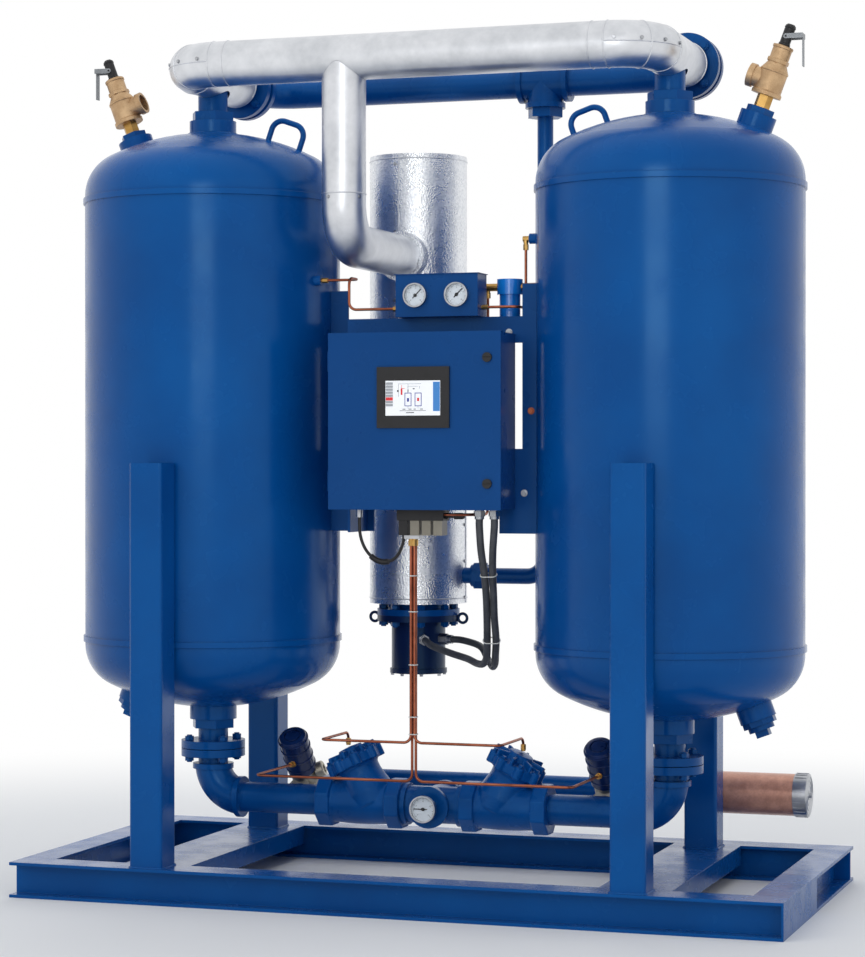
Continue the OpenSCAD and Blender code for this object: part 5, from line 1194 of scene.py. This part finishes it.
# Bolts and brass tube fittings
hardware = {
    "plateBolt": {"Across": 0.015, "Height": 0.007, "Washer": 0.02, "Washer Height": 0.002},
    "bracketSpots": [(0.273, -0.2, 1.62), (0.318, -0.2, 1.165)], "earthSpot": (0.338, -0.2, 1.397),
    "front": (0, -1, 0),
    "rimBolt": {"Across": 0.011, "Height": 0.006, "Washer": 0.015, "Washer Height": 0.0012},
    "rim": {"centre": (-0.19, 0.365, 0.604), "axis": (0, 0, -1), "radius": 0.0805, "count": 8, "turn": 20},
    "fitting": {"Across": 0.0155, "Height": 0.016, "Washer": 0.013, "Washer Height": 0.004},
    "fittings": [               # place, facing
        ((0.0045, -0.274, 1.035), (0, 0, -1)), ((0.0155, -0.274, 1.035), (0, 0, -1)),
        ((0.0045, -0.263, 1.035), (0, 0, -1)), ((0.0155, -0.263, 1.035), (0, 0, -1)),
        ((0.269, -0.045, 0.418), (0, 0, 1)), ((-0.269, -0.045, 0.418), (0, 0, 1)),
        ((0.475, 0.03, 0.345), (0, -1, 0)), ((-0.475, 0.03, 0.345), (0, -1, 0)),
        ((0.168, -0.122, 1.742), (0, 0, -1)), ((0.186, -0.122, 1.742), (0, 0, -1)),
        ((0.1985, -0.22, 1.691), (1, 0, 0)), ((-0.0465, -0.22, 1.691), (-1, 0, 0)),
        ((-0.317, -0.141, 1.783), (1, 0, 0)), ((0.317, -0.141, 1.888), (-1, 0, 0)),
        ((0.305, -0.141, 1.876), (0, 0, -1)),
    ],
}


def makeHardware(s):
    brackets = [(spot, s["front"]) for spot in s["bracketSpots"]]
    fasten("bracketBolts", brackets, s["plateBolt"], zincSteel)
    fasten("earthBolt", [(s["earthSpot"], s["front"])], s["plateBolt"], copperTube)
    fasten("rimBolts", ringSpots(**s["rim"]), s["rimBolt"], zincSteel)
    fasten("tubeFittings", s["fittings"], s["fitting"], brassFitting)


makeHardware(hardware)
print("hardware fitted")

# White ties that hold the two conduits, and the four tubes, side by side
ties = {
    "strap": {"Diameter": 0.0034, "Rib Pitch": 0.012, "Rib Depth": 0.0, "Sides": 8}, "loopSteps": 32,
    "conduitHeights": [0.936, 0.742], "conduitRadius": 0.0118,
    "tubeHeights": [0.93, 0.828, 0.677, 0.529, 0.48], "tubeCentre": (0.01, -0.2685), "tubeHalf": 0.0108,
    "tubeCorner": 0.005,
}


# Closed path round two round things side by side
def pairLoop(first, second, along, r, steps):
    across = (second - first).normalized()
    side = along.cross(across).normalized()
    half = (second - first).length / 2
    middle = (first + second) / 2
    loop = []
    for k in range(steps + 1):
        angle = fullTurn * k / steps
        reach = across * (r * math.cos(angle) + math.copysign(half, math.cos(angle)))
        loop.append(middle + reach + side * r * math.sin(angle))
    return loop


def makeTies(s):
    loops = []
    conduits = [smoothPath(cords[name]["points"]) for name in ("leftConduit", "rightConduit")]
    for z in s["conduitHeights"]:
        spots, ways = [], []
        for path in conduits:
            k = next(i for i, p in enumerate(path) if p.z < z)
            spots.append(path[k])
            ways.append((path[k + 1] - path[k]).normalized())
        along = (ways[0] + ways[1]).normalized()
        loops.append(pairLoop(*spots, along, s["conduitRadius"], s["loopSteps"]))
    x, y = s["tubeCentre"]
    half = s["tubeHalf"]
    low, high = Vector((x - half, y - half)), Vector((x + half, y + half))
    loops += [loopRound(low, high, z, s["tubeCorner"]) for z in s["tubeHeights"]]
    runHose("whiteTies", loops, s["strap"], nylonTie)


makeTies(ties)
print("ties closed")

# Silencer on the solenoid bank's end and a ribbed sleeve on its cable
airlineBits = {
    "silencerFrom": (0.106, -0.266, 1.1), "silencerAlong": (1, 0, 0),
    "silencer": [(0, 0), (0.0085, 0), (0.0085, 0.008), (0.0055, 0.009), (0.0055, 0.024), (0.0092, 0.026),
                 (0.0092, 0.05), (0.006, 0.056), (0, 0.057)],
    "sleeve": {"Diameter": 0.0165, "Rib Pitch": 0.006, "Rib Depth": 0.06, "Sides": 16},
    "sleeveSpan": (0.42, 0.66),     # from and to, as shares of the cable
}


def makeBits(s):
    bm = bmesh.new()
    turned(bm, s["silencer"], s["silencerFrom"], s["silencerAlong"], steps=40)
    build("silencer", bm, blackPlastic, sharp=40)
    path = smoothPath(cords["solenoidCable"]["points"])
    first, last = (round(share * len(path)) for share in s["sleeveSpan"])
    runHose("cableSleeve", [path[first:last]], s["sleeve"], blackPlastic)


makeBits(airlineBits)
print("small pieces made")

# CAD nodes that keep their shape take a finish
finishes = [
    (bluePaint, ["front_rail", "rear_rail", "end_rails", "cross_members", "front_legs", "rear_legs",
                 "left_tower", "right_tower"]),
    (boxPaint, ["enclosure_bracket", "enclosure_box", "enclosure_door", "gauge_panel"]),
    (pipePaint, ["port_plugs", "regen_pipework", "outlet_header", "purge_line", "heater_vessel",
                 "left_inlet_piping", "right_inlet_piping", "inlet_tee", "exhaust_manifold", "flange_bolts",
                 "left_inlet_plug", "right_inlet_plug", "left_exhaust_plug", "right_exhaust_plug"]),
    (castPaint, ["left_check_valve", "right_check_valve"]),
    (darkPaint, ["heater_elements", "terminal_housing"]),
    (laggingSkin, ["header_lagging", "elbow_laggings", "drop_lagging"]),
    (stuccoSkin, ["heater_lagging"]),
    (zincSteel, ["bed_screens", "pressure_gauges", "inlet_gauge", "conduit_fittings"]),
    (blackPlastic, ["upper_latch", "lower_latch", "operator_panel", "left_gauge_pointer",
                    "right_gauge_pointer", "inlet_gauge_pointer"]),
    (leverGrey, ["left_relief_lever", "right_relief_lever"]),
    (beadWhite, ["desiccant_beds"]),
]
for material, names in finishes:
    for name in names:
        nodes[name].data.materials.clear()
        nodes[name].data.materials.append(material)
print("nodes dressed")
